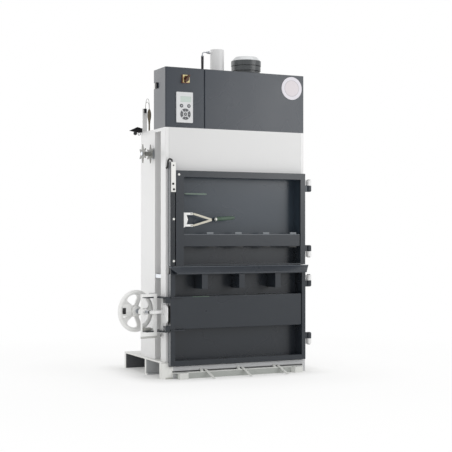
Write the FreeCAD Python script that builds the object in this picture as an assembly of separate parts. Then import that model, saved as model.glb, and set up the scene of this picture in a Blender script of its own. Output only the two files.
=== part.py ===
import FreeCAD, Part
import math
import os

# Vertical recycling baler: a press chamber with two front doors, a screw lock on the
# lower door, a hydraulic press above it and a dark control cover at the front.
# Millimetres. X runs to the right along the front, Y runs into the depth (the front
# looks along -Y), Z is up. The origin is on the floor, in the middle of the front posts.

Vector = FreeCAD.Vector
os.makedirs("parts", exist_ok=True)

# ---------------------------------------------------------------- driving sizes
body_width = 1040.0
body_top = 1657.0
seat_gap = 0.3
fit_gap = 0.05

post_width = 24.0
post_depth = 83.0
jamb_sheet = 6.0
column_front = 187.0
column_back = 452.0
column_sheet = 4.0

base_height = 114.0
base_sheet = 10.0
base_overhang = 32.0
base_depth = 697.0
runner_front_lip = 19.0
deck_front_lip = 1.6
front_runner_depth = 47.0
door_sill_gap = 6.0
sill_corner = 30.0
sill_groove_bottom = 43.0
sill_groove_height = 8.0
sill_groove_depth = 14.0
door_clear = 2.0
middle_runner_start = 267.0
middle_runner_depth = 28.0
rear_runner_depth = 30.0

chamber_inset = 160.0
chamber_back = 600.0
chamber_sheet = 8.0
floor_thickness = 36.0
strap_pitch = 273.0
strap_groove_width = 30.0
strap_groove_depth = 18.0
back_beam_height = 70.0
back_beam_depth = 45.0
back_beam_count = 4

crosshead_thickness = 20.0
panel_bottom = 1373.0
panel_sheet = 3.0
panel_return = 40.0
panel_seam = 1.0

cover_height = 398.0
cover_depth = 208.0
cover_sheet = 3.0
cover_seam_place = 280.0
cover_seam = 2.0
cover_bend_radius = 6.0

switch_plate_size = 56.0
switch_plate_thickness = 4.0
switch_centre_x = 143.0
switch_drop = 75.0
knob_radius = 20.0
knob_depth = 12.0
knob_grip_width = 13.0
knob_grip_depth = 24.0
knob_grip_reach = 27.0
knob_rest_turn = 33.0

keypad_width = 118.0
keypad_height = 202.0
keypad_thickness = 9.0
keypad_left = 75.0
keypad_rise = 33.0
display_left = 28.0
display_bottom = 136.0
display_width = 77.0
display_height = 38.0
display_depth = 2.5
key_radius = 12.0
key_proud = 1.6
key_travel = 1.0
key_gap = 0.35
key_stem = 4.5
round_key_height = 111.0
left_key_place = 36.0
right_key_place = 89.0
ring_place = 64.0
ring_height = 56.0
ring_outer = 38.0
ring_inner = 17.0
ring_slot = 8.0
centre_key_radius = 11.0

socket_drop = 88.0
socket_height = 38.0
socket_width = 63.0
socket_inset = 8.0
socket_dark_half = 28.0
socket_depth = 5.0

badge_radius = 79.0
badge_thickness = 2.0
badge_inset = 96.0
badge_drop = 91.0

door_front = -47.0
door_flange_back = -2.0
door_sheet = 4.0
pan_back = 54.0
upper_door_bottom = 743.0
upper_door_top = 1371.0
upper_door_left = 55.0
upper_door_inset = 14.0
upper_rim_left = 56.0
upper_rim_right = 37.0
upper_rim_top = 42.0
upper_rim_bottom = 9.0
upper_beam_bottom = 869.0
upper_beam_height = 84.0
beam_front = -42.0
beam_end_gap = 4.0
clip_width = 48.0
clip_height = 12.0
clip_pitch = 210.0
clip_inset = 52.0
clip_count = 4

lower_door_left = 16.0
lower_door_inset = 12.0
lower_door_bottom = 86.0
lower_rim_left = 34.0
lower_rim_right = 28.0
lower_rim_bottom = 33.5
lip_bottom = 690.0
lip_top = 740.0
lip_reach = 53.0
lip_land = 8.0
lip_overhang = 14.0
lip_hinge_overhang = 24.0
lip_mitre = 43.0
lower_beam_bottom = 326.0
lower_beam_height = 217.0
strap_box_width = 42.0
strap_box_height = 100.0
strap_box_wall = 5.0
strap_box_reach = 37.0

latch_strip_width = 34.0
switch_bar_left = 20.0
switch_bar_width = 33.0
switch_bar_bottom = 1228.0
switch_bar_height = 196.0
switch_bar_front = -54.0
cable_radius = 6.5
cable_loop_left = 6.0
cable_loop_drop = 37.0
lead_radius = 1.75

hinge_axis_x = 31.0
hinge_axis_y = -15.0
knuckle_radius = 19.0
knuckle_dome = 10.0
hinge_pin_radius = 8.0
knuckle_length = 42.5
frame_knuckle_length = 38.0
knuckle_gap = 0.5
hinge_leaf_depth = 60.0
hinge_leaf_thickness = 9.0
upper_door_hinges = (1290.0, 833.0)
lower_door_hinges = (630.0, 226.0)

latch_place_z = 1048.0
latch_bracket_height = 92.0
latch_bracket_reach = 78.0
latch_bracket_sheet = 5.0
latch_bracket_tail = 10.0
latch_flange_depth = 34.0
latch_flange_height = 15.0
latch_arm_rise = 31.0
latch_arm_width = 13.0
latch_arm_thickness = 8.0
latch_grip_tilt = 8.0
latch_arm_radius = 5.0
latch_pin_radius = 4.0
latch_eye_radius = 8.0
latch_eye_thickness = 7.0
latch_tip_reach = 157.0
latch_ring_radius = 12.5
latch_ring_length = 12.0
latch_ring_gap = 20.0
latch_grip_radius = 13.5
latch_grip_end_radius = 7.5
latch_grip_length = 128.0
latch_plane = -18.0
grab_rod_z = 1219.0
grab_rod_radius = 3.5
grab_rod_length = 176.0
grab_grip_radius = 5.0
grab_grip_length = 150.0

wheel_side = 151.0
wheel_depth = 156.0
wheel_height = 442.0
lock_turn = 14.4
wheel_radius = 140.0
wheel_rim = 15.0
wheel_thickness = 22.0
wheel_hub_radius = 34.0
wheel_hub_length = 46.0
wheel_dish = 10.0
spoke_count = 5
spoke_width = 38.0
window_round = 18.0
spindle_radius = 9.0
spindle_nose_radius = 6.0
hub_nut_radius = 16.0
hub_nut_length = 12.0
nut_tube_radius = 20.0
nut_tube_start = 60.0
yoke_start = 132.0
yoke_depth = 12.0
yoke_bridge_start = 108.0
yoke_left = -52.0
yoke_right = 72.0
yoke_left_bar = 6.0
yoke_right_bar = 26.0
yoke_top = 560.0
yoke_bottom = 270.0
yoke_crossbar = 24.0
yoke_bridge = 10.0
claw_top = 541.0
claw_bottom = 309.0
claw_plate = 9.0
claw_web_start = 72.0
claw_clear = 3.0
claw_cheek = 32.0
claw_hip = 45.0
claw_hip_depth = 110.0
claw_heel = 32.0
claw_nose = 22.0
cleat_reach = 96.0
cleat_height = 7.0
cleat_depth = 11.0
pivot_side = 22.0
pivot_depth = 215.0
lock_eye_radius = 18.0
lock_pin_radius = 8.0
lock_ear_thickness = 12.0
lock_ear_depth = 42.0
pad_radius = 13.0
pad_thickness = 9.0
pad_reach = 17.0
pad_socket_depth = 5.0
anchor_plate = 8.0
anchor_front = -45.0
anchor_back = 62.0
anchor_bottom = 368.0
anchor_top = 486.0
anchor_chamfer = 16.0
anchor_tongue_depth = 12.0
anchor_tongue_height = 20.0
anchor_gusset_height = 48.0
anchor_gusset_reach = 34.0

cylinder_y = 317.0
barrel_radius = 49.0
barrel_bore = 38.0
barrel_top = 2250.0
barrel_bottom = 1470.0
barrel_cap = 12.0
gland_length = 45.0
flange_radius = 82.0
flange_thickness = 25.0
rod_radius = 28.0
piston_length = 40.0
press_travel = 660.0
platen_gap = 6.0
platen_front = 66.0
platen_bottom = 1410.0
platen_plate = 32.0
platen_rib = 12.0
platen_height = 130.0
rod_collar = 70.0

tank_gap = 8.0
tank_width = 270.0
tank_depth = 225.0
tank_height = 240.0
motor_y = 312.0
motor_radius = 104.0
motor_core_radius = 93.0
motor_height = 241.0
motor_band = 36.0
motor_groove = 4.0
motor_fin_pitch = 16.0
motor_fin = 6.0
motor_lid_wall = 35.0
motor_lid_height = 66.0
motor_lid_flat = 78.0
bell_height = 26.0

pipe_radius = 4.0
pipe_bend = 17.0
fitting_nut_radius = 11.0
sleeve_radius = 9.5
sleeve_length = 50.0
hose_radius = 9.0
hose_bend = 55.0
hose_clear = 24.0
hose_x = -113.0
port_drop = 23.0

reel_y = 214.0
reel_z = 1493.0
reel_inner_star = 25.0
reel_outer_star = 80.0
star_thickness = 5.0
star_radius = 63.0
star_hub = 22.0
star_arm = 48.0
star_tip = 4.0
reel_shaft_radius = 7.0
reel_plate = 70.0
reel_plate_thickness = 5.0

stay_height = 166.0
stay_width = 32.0
stay_thickness = 6.0
stay_x = 6.0
stay_y = 435.0
stay_switch_width = 14.0
stay_switch_height = 30.0
sleeve_shift = 49.0

hook_reach = 89.0
hook_rise = 38.0
hook_thickness = 10.0
hook_ball = 13.0
hook_ring = 9.0

step_height = 42.0
step_depth = 66.0
step_middle_depth = 28.0
step_left = 69.0
step_inset = 53.0
step_foot = 60.0
step_taper = 14.0
step_flare = 30.0
gusset_width = 18.0
gusset_rise = 20.0
guide_shift = 29.0
guide_width = 18.0
guide_thickness = 3.0

# ---------------------------------------------------------------- derived planes
left = -body_width / 2.0
right = body_width / 2.0
chamber_left = left + chamber_inset
chamber_right = right - chamber_inset
crosshead_bottom = body_top - crosshead_thickness
floor_top = base_height + floor_thickness
cover_top = body_top + cover_height
switch_centre_z = cover_top - switch_drop
keypad_bottom = body_top + keypad_rise
badge_centre_z = cover_top - badge_drop
pipe_height = barrel_top - port_drop
strap_places = [-strap_pitch, 0.0, strap_pitch]
up = Vector(0, 0, 1)
motor_x = flange_radius + tank_gap + tank_width / 2.0
wheel_centre = Vector(-wheel_side, wheel_depth, wheel_height)
lock_pivot = Vector(-pivot_side, pivot_depth, 0)


# ---------------------------------------------------------------- shape helpers
def block(x0, x1, y0, y1, z0, z1):
    """An upright box between two corners."""
    return Part.makeBox(x1 - x0, y1 - y0, z1 - z0, Vector(x0, y0, z0))


def rod(start, direction, radius, length):
    """A round bar from start along direction."""
    return Part.makeCylinder(radius, length, start, direction)


def plan_prism(points, z0, z1):
    """A flat outline in the XY plane raised from z0 to z1."""
    corners = [Vector(x, y, z0) for x, y in points]
    face = Part.Face(Part.makePolygon(corners + corners[:1]))
    return face.extrude(Vector(0, 0, z1 - z0))


def side_prism(points, x0, x1):
    """A flat outline in the YZ plane drawn from x0 to x1."""
    corners = [Vector(x0, y, z) for y, z in points]
    face = Part.Face(Part.makePolygon(corners + corners[:1]))
    return face.extrude(Vector(x1 - x0, 0, 0))


def front_prism(points, y0, y1):
    """A flat outline in the XZ plane drawn from y0 to y1."""
    corners = [Vector(x, y0, z) for x, z in points]
    face = Part.Face(Part.makePolygon(corners + corners[:1]))
    return face.extrude(Vector(0, y1 - y0, 0))


def flat_bar(start, end, side, width, thickness):
    """A straight bar from start to end, its width along side."""
    run = end - start
    across = side * (width / 2.0)
    rise = run.cross(side).normalize() * (thickness / 2.0)
    corners = [start - across - rise, start + across - rise,
               start + across + rise, start - across + rise]
    face = Part.Face(Part.makePolygon(corners + corners[:1]))
    return face.extrude(run)


def bent_pipe(points, bend, radius):
    """A round pipe through points, with arcs of one bend radius at the corners."""
    edges = []
    start = points[0]
    for before, corner, after in zip(points, points[1:], points[2:]):
        back = (before - corner).normalize()
        ahead = (after - corner).normalize()
        half = back.getAngle(ahead) / 2.0
        reach = bend / math.tan(half)
        arc_start = corner + back * reach
        arc_end = corner + ahead * reach
        bisector = (back + ahead).normalize()
        middle = corner + bisector * (bend / math.sin(half) - bend)
        edges.append(Part.LineSegment(start, arc_start).toShape())
        edges.append(Part.Arc(arc_start, middle, arc_end).toShape())
        start = arc_end
    edges.append(Part.LineSegment(start, points[-1]).toShape())
    path = Part.Wire(edges)
    heading = (points[1] - points[0]).normalize()
    ring = Part.Wire(Part.makeCircle(radius, points[0], heading))
    return path.makePipeShell([ring], True, False)


def fuse(shapes):
    """One solid out of several that touch or overlap."""
    joined = shapes[0].multiFuse(shapes[1:])
    return joined.removeSplitter()


def mirror_x(shape):
    return shape.mirror(Vector(0, 0, 0), Vector(1, 0, 0))


def both_sides(shape):
    """A left piece and its mirrored twin on the right."""
    return Part.makeCompound([shape, mirror_x(shape)])


def save(name, shape):
    shape.exportStep("parts/" + name + ".step")


# ---------------------------------------------------------------- base
def make_base():
    x0 = left - base_overhang
    middle_end = middle_runner_start + middle_runner_depth
    rear_start = base_depth - rear_runner_depth
    under = base_height - base_sheet
    front_end = front_runner_depth - runner_front_lip
    sill = lower_door_bottom - door_sill_gap
    lip = base_sheet * 2.0
    deck = block(x0, right, -deck_front_lip, base_depth, under, base_height)
    front = block(x0, right, -deck_front_lip, front_end, 0, under)
    nose = block(x0, right, -runner_front_lip, front_end, 0, sill)
    nose = nose.makeFillet(sill_corner, upright_edges(nose, x0, -runner_front_lip))
    cheek = block(x0, left + lower_door_left - door_clear, -runner_front_lip, front_end,
                  0, base_height - base_sheet)
    cheek = cheek.makeFillet(sill_corner, upright_edges(cheek, x0, -runner_front_lip))
    groove = block(left + step_left - step_flare, right - step_inset + step_flare,
                   -runner_front_lip, -runner_front_lip + sill_groove_depth,
                   sill_groove_bottom, sill_groove_bottom + sill_groove_height)
    front = front.fuse([nose, cheek]).cut(groove)
    middle = block(x0, right, middle_runner_start, middle_end, 0, under)
    middle_lip = block(x0, right, middle_runner_start - lip, middle_runner_start, 0, base_sheet)
    rear = block(x0, right, rear_start, base_depth, 0, under)
    return fuse([deck, front, middle, middle_lip, rear])


def make_step():
    """Low step: a folded top between two feet, gussets behind and sloping strap guides."""
    x0 = left + step_left
    x1 = right - step_inset
    back = -runner_front_lip
    front = back - step_depth
    middle = back - step_middle_depth
    half = [(x0, back), (x0, front), (x0 + step_foot, front),
            (x0 + step_foot + step_taper, middle)]
    other = [(x1 - step_foot - step_taper, middle), (x1 - step_foot, front), (x1, front),
             (x1, back)]
    body = plan_prism(half + other, 0, step_height)
    top = [(x0 - step_flare, back), (x0, front), (x1, front), (x1 + step_flare, back)]
    ends = plan_prism(top, step_height - door_sheet, step_height)
    ends = ends.cut(block(x0, x1, front, back, 0, step_height))
    pieces = [body] + ends.Solids
    rise = step_height + gusset_rise
    for x in strap_places:
        outline = [(middle + door_sheet, step_height), (back, rise), (back, step_height)]
        pieces.append(side_prism(outline, x - gusset_width / 2.0, x + gusset_width / 2.0))
        pieces.append(strap_guide(x + guide_shift, back, middle))
    return fuse(pieces)


def strap_guide(x, back, middle):
    """A flat bar from the sill over the step's front edge down to the floor."""
    start_z = step_height + gusset_rise * 0.7
    edge_z = step_height + guide_thickness * 0.3
    slope = (start_z - edge_z) / (back - middle)
    floor_z = guide_thickness
    length = (start_z - floor_z) / slope
    start = Vector(x, back - guide_thickness, start_z - slope * guide_thickness)
    end = Vector(x + guide_width, back - length, floor_z)
    return flat_bar(start, end, Vector(1, 0, 0), guide_width, guide_thickness)


# ---------------------------------------------------------------- body
def make_post():
    """Left front post: a folded box with a jamb flange that meets the chamber wall."""
    x1 = left + post_width
    tube = block(left, x1, 0, post_depth, base_height, body_top)
    tube = tube.makeFillet(column_sheet, upright_edges(tube, left, 0))
    jamb_y = pan_back + column_sheet
    jamb = block(x1, chamber_left - chamber_sheet, jamb_y, jamb_y + jamb_sheet,
                 base_height, crosshead_bottom)
    return fuse([tube, jamb])


def upright_edges(shape, x, y):
    """The vertical edges of a shape at one place in plan."""
    found = []
    for edge in shape.Edges:
        ends = [vertex.Point for vertex in edge.Vertexes]
        if len(ends) != 2:
            continue
        if abs(ends[0].x - ends[1].x) + abs(ends[0].y - ends[1].y) > seat_gap:
            continue
        if abs(ends[0].x - x) + abs(ends[0].y - y) < seat_gap:
            found.append(edge)
    return found


def make_column():
    """Left rear column: a folded channel closed by the chamber wall."""
    x1 = chamber_left - chamber_sheet
    outer = block(left, x1, column_front, column_back, base_height, crosshead_bottom)
    inner = block(left + column_sheet, x1, column_front + column_sheet,
                  column_back - column_sheet, base_height, crosshead_bottom)
    return outer.cut(inner)


def make_chamber_wall():
    y0 = pan_back + column_sheet
    return block(chamber_left - chamber_sheet, chamber_left, y0, chamber_back,
                 base_height, crosshead_bottom)


def make_chamber_back():
    """Back plate with a shallow upright channel pressed out for each strap."""
    x0 = chamber_left - chamber_sheet
    x1 = chamber_right + chamber_sheet
    y1 = chamber_back + chamber_sheet + strap_groove_depth
    plate = block(x0, x1, chamber_back, chamber_back + chamber_sheet,
                  base_height, crosshead_bottom)
    half = strap_groove_width / 2.0
    for x in strap_places:
        rib = block(x - half - chamber_sheet, x + half + chamber_sheet,
                    chamber_back, y1, base_height, crosshead_bottom)
        groove = block(x - half, x + half, chamber_back, y1 - chamber_sheet,
                       floor_top - strap_groove_depth, crosshead_bottom)
        plate = plate.fuse(rib).cut(groove)
    return plate.removeSplitter()


def make_back_beams():
    """Level channels that brace the back plate."""
    y0 = chamber_back + chamber_sheet + strap_groove_depth
    y1 = y0 + back_beam_depth
    pitch = (crosshead_bottom - base_height - back_beam_height) / (back_beam_count + 1)
    beams = []
    for number in range(1, back_beam_count + 1):
        z0 = base_height + pitch * number
        z1 = z0 + back_beam_height
        outer = block(chamber_left, chamber_right, y0, y1, z0, z1)
        inner = block(chamber_left, chamber_right, y0, y1 - column_sheet,
                      z0 + column_sheet, z1 - column_sheet)
        beams.append(outer.cut(inner))
    return Part.makeCompound(beams)


def make_floor():
    """Chamber floor with the strap grooves that run from front to back."""
    y0 = pan_back + column_sheet
    plate = block(chamber_left, chamber_right, y0, chamber_back, base_height, floor_top)
    half = strap_groove_width / 2.0
    for x in strap_places:
        groove = block(x - half, x + half, y0, chamber_back,
                       floor_top - strap_groove_depth, floor_top)
        plate = plate.cut(groove)
    return plate


def make_crosshead():
    """Thick top plate that carries the press cylinder."""
    front = panel_return
    outline = [(left + post_width, front), (right - post_width, front),
               (right - post_width, post_depth), (right, post_depth),
               (right, column_back), (chamber_right + chamber_sheet, column_back),
               (chamber_right + chamber_sheet, chamber_back + chamber_sheet),
               (chamber_left - chamber_sheet, chamber_back + chamber_sheet),
               (chamber_left - chamber_sheet, column_back), (left, column_back),
               (left, post_depth), (left + post_width, post_depth)]
    plate = plan_prism(outline, crosshead_bottom, body_top)
    bore = rod(Vector(0, cylinder_y, crosshead_bottom), up, barrel_radius,
               crosshead_thickness)
    return plate.cut(bore)


def make_front_panel():
    """White sheet between the posts, folded back at its four edges."""
    x0 = left + post_width + panel_seam
    x1 = right - post_width - panel_seam
    outer = block(x0, x1, 0, panel_return, panel_bottom, body_top)
    inner = block(x0 + panel_sheet, x1 - panel_sheet, panel_sheet, panel_return,
                  panel_bottom + panel_sheet, body_top - panel_sheet)
    return outer.cut(inner)


# ---------------------------------------------------------------- control cover
def make_cover(x0, x1):
    """Folded hood, open below, with small bend radii on its upright edges."""
    outer = block(x0, x1, 0, cover_depth, body_top, cover_top)
    corners = upright_edges(outer, x0, 0) + upright_edges(outer, x1, 0)
    outer = outer.makeFillet(cover_bend_radius, corners)
    inner = block(x0 + cover_sheet, x1 - cover_sheet, cover_sheet,
                  cover_depth - cover_sheet, body_top, cover_top - cover_sheet)
    return outer.cut(inner)


def make_side_socket():
    """Flat socket with a raised half, on the left side of the cover near its back edge."""
    z1 = cover_top - socket_drop
    y1 = cover_depth - socket_inset
    plate = block(left - socket_depth, left, y1 - socket_width, y1, z1 - socket_height, z1)
    raised = block(left - socket_depth * 2.0, left - socket_depth, y1 - socket_width,
                   y1 - socket_width + socket_dark_half, z1 - socket_height, z1)
    return fuse([plate, raised])


def make_switch_plate():
    half = switch_plate_size / 2.0
    x = left + switch_centre_x
    plate = block(x - half, x + half, -switch_plate_thickness, 0,
                  switch_centre_z - half, switch_centre_z + half)
    corners = [edge for edge in plate.Edges if edge_runs_along(edge, Vector(0, 1, 0))]
    plate = plate.makeFillet(key_stem, corners)
    bore = rod(Vector(x, -switch_plate_thickness, switch_centre_z), Vector(0, 1, 0),
               key_stem + fit_gap, switch_plate_thickness)
    return plate.cut(bore)


def edge_runs_along(edge, direction):
    ends = [vertex.Point for vertex in edge.Vertexes]
    if len(ends) != 2:
        return False
    run = (ends[1] - ends[0]).normalize()
    return abs(run.dot(direction)) > 0.99


def make_switch_knob():
    """Round base with a raised finger bar, turned to its rest position."""
    x = left + switch_centre_x
    y0 = -switch_plate_thickness - seat_gap
    centre = Vector(x, y0, switch_centre_z)
    outward = Vector(0, -1, 0)
    disc = rod(centre, outward, knob_radius, knob_depth)
    half = knob_grip_width / 2.0
    reach = knob_grip_reach
    grip = block(x - half, x + half, y0 - knob_depth - knob_grip_depth, y0 - knob_depth,
                 switch_centre_z - reach, switch_centre_z + reach)
    stem = rod(Vector(x, y0 + switch_plate_thickness, switch_centre_z), outward, key_stem,
               switch_plate_thickness)
    knob = fuse([disc, grip, stem])
    knob.rotate(centre, Vector(0, 1, 0), knob_rest_turn)
    return knob


def ring_sector(inner, outer, y0, y1):
    """A flat ring about the keypad's ring centre."""
    centre = Vector(left + keypad_left + ring_place, y1, keypad_bottom + ring_height)
    outward = Vector(0, -1, 0)
    disc = rod(centre, outward, outer, y1 - y0)
    hole = rod(centre, outward, inner, y1 - y0)
    return disc.cut(hole)


def key_place(across, height):
    return Vector(left + keypad_left + across, 0, keypad_bottom + height)


def key_pocket(centre, radius):
    """The blind hole in the keypad that a round key slides in."""
    start = Vector(centre.x, -keypad_thickness, centre.z)
    return rod(start, Vector(0, 1, 0), radius + key_gap, keypad_thickness - badge_thickness)


def round_key(centre, radius):
    """A slightly domed key that stands a little proud of the keypad."""
    bottom = -badge_thickness - key_travel - seat_gap
    top = -keypad_thickness - key_proud
    start = Vector(centre.x, bottom, centre.z)
    key = rod(start, Vector(0, -1, 0), radius, bottom - top)
    rim = [edge for edge in key.Edges if abs(edge.CenterOfMass.y - top) < seat_gap]
    return key.makeFillet(key_proud / 2.0, rim[:1])


def make_keypad():
    x0 = left + keypad_left
    z0 = keypad_bottom
    case = block(x0, x0 + keypad_width, -keypad_thickness, 0, z0, z0 + keypad_height)
    corners = [edge for edge in case.Edges if edge_runs_along(edge, Vector(0, 1, 0))]
    case = case.makeFillet(key_stem, corners)
    window = block(x0 + display_left, x0 + display_left + display_width,
                   -keypad_thickness, -keypad_thickness + display_depth,
                   z0 + display_bottom, z0 + display_bottom + display_height)
    case = case.cut(window)
    for across in (left_key_place, right_key_place):
        case = case.cut(key_pocket(key_place(across, round_key_height), key_radius))
    case = case.cut(key_pocket(key_place(ring_place, ring_height), centre_key_radius))
    trough = ring_sector(ring_inner - key_gap, ring_outer + key_gap, -keypad_thickness,
                         -badge_thickness)
    return case.cut(trough)


def make_display():
    x0 = left + keypad_left + display_left + fit_gap
    x1 = x0 + display_width - 2.0 * fit_gap
    z0 = keypad_bottom + display_bottom + fit_gap
    z1 = z0 + display_height - 2.0 * fit_gap
    back = -keypad_thickness + display_depth
    return block(x0, x1, back - display_depth / 2.0, back, z0, z1)


def make_ring_key():
    """One moulded four-way key: a thin ring with four raised arcs."""
    bottom = -badge_thickness - key_travel - seat_gap
    face = -keypad_thickness
    ring = ring_sector(ring_inner, ring_outer, face, bottom)
    arcs = ring_sector(ring_inner + key_proud, ring_outer - key_proud, face - key_proud, face)
    centre = key_place(ring_place, ring_height)
    half = ring_slot / 2.0
    cutter = block(centre.x - half, centre.x + half, face - key_proud, face,
                   centre.z - ring_outer, centre.z + ring_outer)
    for turn in (45.0, 135.0):
        slot = cutter.copy()
        slot.rotate(Vector(centre.x, 0, centre.z), Vector(0, 1, 0), turn)
        arcs = arcs.cut(slot)
    return fuse([ring] + arcs.Solids)


def make_badge():
    start = Vector(right - badge_inset, 0, badge_centre_z)
    return rod(start, Vector(0, -1, 0), badge_radius, badge_thickness)


# ---------------------------------------------------------------- doors
def door_pan(x0, x1, z0, z1, rims):
    """A flanged frame whose middle is pressed back into a pan between the posts."""
    rim_left, rim_right, rim_bottom, rim_top = rims
    a0 = x0 + rim_left
    a1 = x1 - rim_right
    b0 = z0 + rim_bottom
    b1 = z1 - rim_top
    skin = door_sheet
    frame = block(x0, x1, door_front, door_flange_back, z0, z1)
    hollow = block(x0 + skin, x1 - skin, door_front + skin, door_flange_back,
                   z0 + skin, z1 - skin)
    pan = block(a0 - skin, a1 + skin, door_front, pan_back, b0 - skin, b1 + skin)
    inside = block(a0, a1, door_front, pan_back - skin, b0, b1)
    return frame.cut(hollow).fuse(pan).cut(inside).removeSplitter()


def door_knuckles(heights, door_side_up, edge):
    """The door's half of each hinge: a bored barrel on an arm from the door's edge."""
    axis_x = right + hinge_axis_x
    shapes = []
    for height, on_top in zip(heights, door_side_up):
        z0 = height + knuckle_gap if on_top else height - knuckle_gap - knuckle_length
        barrel = rod(Vector(axis_x, hinge_axis_y, z0), up, knuckle_radius, knuckle_length)
        outer_z = z0 + knuckle_length if on_top else z0
        rings = [edge for edge in barrel.Edges if len(edge.Vertexes) == 1]
        rim = [edge for edge in rings if abs(edge.CenterOfMass.z - outer_z) < knuckle_gap]
        barrel = barrel.makeFillet(knuckle_dome, rim)
        arm = block(edge, axis_x, hinge_axis_y - hinge_leaf_thickness,
                    hinge_axis_y + hinge_leaf_thickness, z0, z0 + knuckle_length)
        bore = rod(Vector(axis_x, hinge_axis_y, z0), up, hinge_pin_radius + fit_gap,
                   knuckle_length)
        shapes.append(fuse([barrel, arm]).cut(bore))
    return shapes


def make_upper_door():
    x0 = left + upper_door_left
    x1 = right - upper_door_inset
    rims = (upper_rim_left, upper_rim_right, upper_rim_bottom, upper_rim_top)
    tray = door_pan(x0, x1, upper_door_bottom, upper_door_top, rims)
    return fuse([tray] + door_knuckles(upper_door_hinges, (False, True), x1))


def hollow_beam(x0, x1, z0, z1):
    """A pressed hat-section beam on the door's inner panel, with rounded front edges."""
    back = pan_back - door_sheet
    outer = block(x0, x1, beam_front, back, z0, z1)
    front_edges = []
    for edge in outer.Edges:
        middle = edge.CenterOfMass
        if edge_runs_along(edge, Vector(1, 0, 0)) and abs(middle.y - beam_front) < seat_gap:
            front_edges.append(edge)
    outer = outer.makeFillet(door_sheet, front_edges)
    inner = block(x0 + door_sheet, x1 - door_sheet, beam_front + door_sheet, back,
                  z0 + door_sheet, z1 - door_sheet)
    return outer.cut(inner)


def make_upper_beam():
    x0 = left + upper_door_left + upper_rim_left
    x1 = right - upper_door_inset - upper_rim_right - beam_end_gap
    return hollow_beam(x0, x1, upper_beam_bottom, upper_beam_bottom + upper_beam_height)


def make_strap_clips():
    """Small folded clips on the top edge of the upper door's beam."""
    z0 = upper_beam_bottom + upper_beam_height
    last = right - upper_door_inset - upper_rim_right - clip_inset
    clips = []
    for number in range(clip_count):
        x = last - clip_pitch * number
        foot = block(x - clip_width / 2.0, x + clip_width / 2.0, beam_front + door_sheet * 2.0,
                     beam_front + post_width, z0, z0 + door_sheet)
        tab = block(x - clip_width / 2.0, x + clip_width / 2.0, beam_front + door_sheet * 2.0,
                    beam_front + door_sheet * 3.0, z0 + door_sheet, z0 + clip_height)
        clips.append(fuse([foot, tab]))
    return Part.makeCompound(clips)


def make_lower_door():
    """Lower door: flanged pan below a sloping lip whose ends are mitred."""
    x0 = left + lower_door_left
    x1 = right - lower_door_inset
    rims = (lower_rim_left, lower_rim_right, lower_rim_bottom, door_sheet)
    tray = door_pan(x0, x1, lower_door_bottom, lip_bottom, rims)
    low_front = door_front - lip_reach
    profile_left = x0 - lip_overhang
    profile_right = x1 + lip_hinge_overhang
    low = [Vector(profile_left + lip_mitre, low_front, lip_bottom + lip_land),
           Vector(profile_right - lip_mitre, low_front, lip_bottom + lip_land)]
    high = [Vector(profile_left, door_front, lip_top), Vector(profile_right, door_front, lip_top)]
    slope = skin_plate([high[0], high[1], low[1], low[0]], door_sheet)
    land = block(low[0].x, low[1].x, low_front, low_front + door_sheet,
                 lip_bottom, lip_bottom + lip_land + door_sheet / 2.0)
    wall = block(x0, x1, door_front, door_front + door_sheet, lip_bottom, lip_top - door_sheet)
    under = block(low[0].x, low[1].x, low_front, door_front, lip_bottom, lip_bottom + door_sheet)
    lip = fuse([slope, land, wall, under])
    knuckles = door_knuckles(lower_door_hinges, (False, True), x1)
    return fuse([tray, lip] + knuckles)


def skin_plate(corners, thickness):
    """A flat sheet with the given outer corners, its thickness laid inwards."""
    face = Part.Face(Part.makePolygon(corners + corners[:1]))
    normal = (corners[1] - corners[0]).cross(corners[3] - corners[0]).normalize()
    if normal.y < 0:
        normal = normal * -1.0
    return face.extrude(normal * thickness)


def make_lower_beam():
    x0 = left + lower_door_left + lower_rim_left
    x1 = right - lower_door_inset - lower_rim_right - beam_end_gap
    return hollow_beam(x0, x1, lower_beam_bottom, lower_beam_bottom + lower_beam_height)


def make_lock_cleats():
    """Two flat bars on the lower door, in line with the claw's plates."""
    x0 = left + lower_door_left
    cleats = []
    for z in (claw_bottom + claw_plate, claw_top - cleat_height):
        bar = block(x0, x0 + cleat_reach, door_front - cleat_depth, door_front,
                    z, z + cleat_height)
        leg = block(x0 + lower_rim_left, x0 + cleat_reach, door_front, beam_front, z,
                    z + cleat_height)
        cleats.append(fuse([bar, leg]))
    return Part.makeCompound(cleats)


def make_strap_boxes():
    """Three open-bottomed strap guides under the lip of the lower door."""
    half = strap_box_width / 2.0
    front = door_front - strap_box_reach
    back = pan_back - door_sheet
    z1 = lip_bottom - door_sheet
    z0 = lip_bottom - strap_box_height
    boxes = []
    for x in strap_places:
        outline = [(front, lip_bottom), (front, z0), (back, z0), (back, z1),
                   (door_front, z1), (door_front, lip_bottom)]
        outer = side_prism(outline, x - half, x + half)
        inner = block(x - half + strap_box_wall, x + half - strap_box_wall,
                      front + strap_box_wall, back - strap_box_wall, z0, z1 - strap_box_wall)
        boxes.append(outer.cut(inner))
    return Part.makeCompound(boxes)


def make_latch_strip():
    """Dark closing strip on the left post, beside the upper door and behind its switch."""
    x0 = left + lower_door_left
    x1 = x0 + latch_strip_width
    top = switch_bar_bottom + switch_bar_height
    outer = block(x0, x1, door_front, 0, upper_door_bottom, top)
    corners = upright_edges(outer, x0, door_front) + upright_edges(outer, x1, door_front)
    outer = outer.makeFillet(door_sheet - seat_gap, corners)
    inner = block(x0 + door_sheet, x1 - door_sheet, door_front + door_sheet, 0,
                  upper_door_bottom + door_sheet, top - door_sheet)
    return outer.cut(inner)


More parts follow.
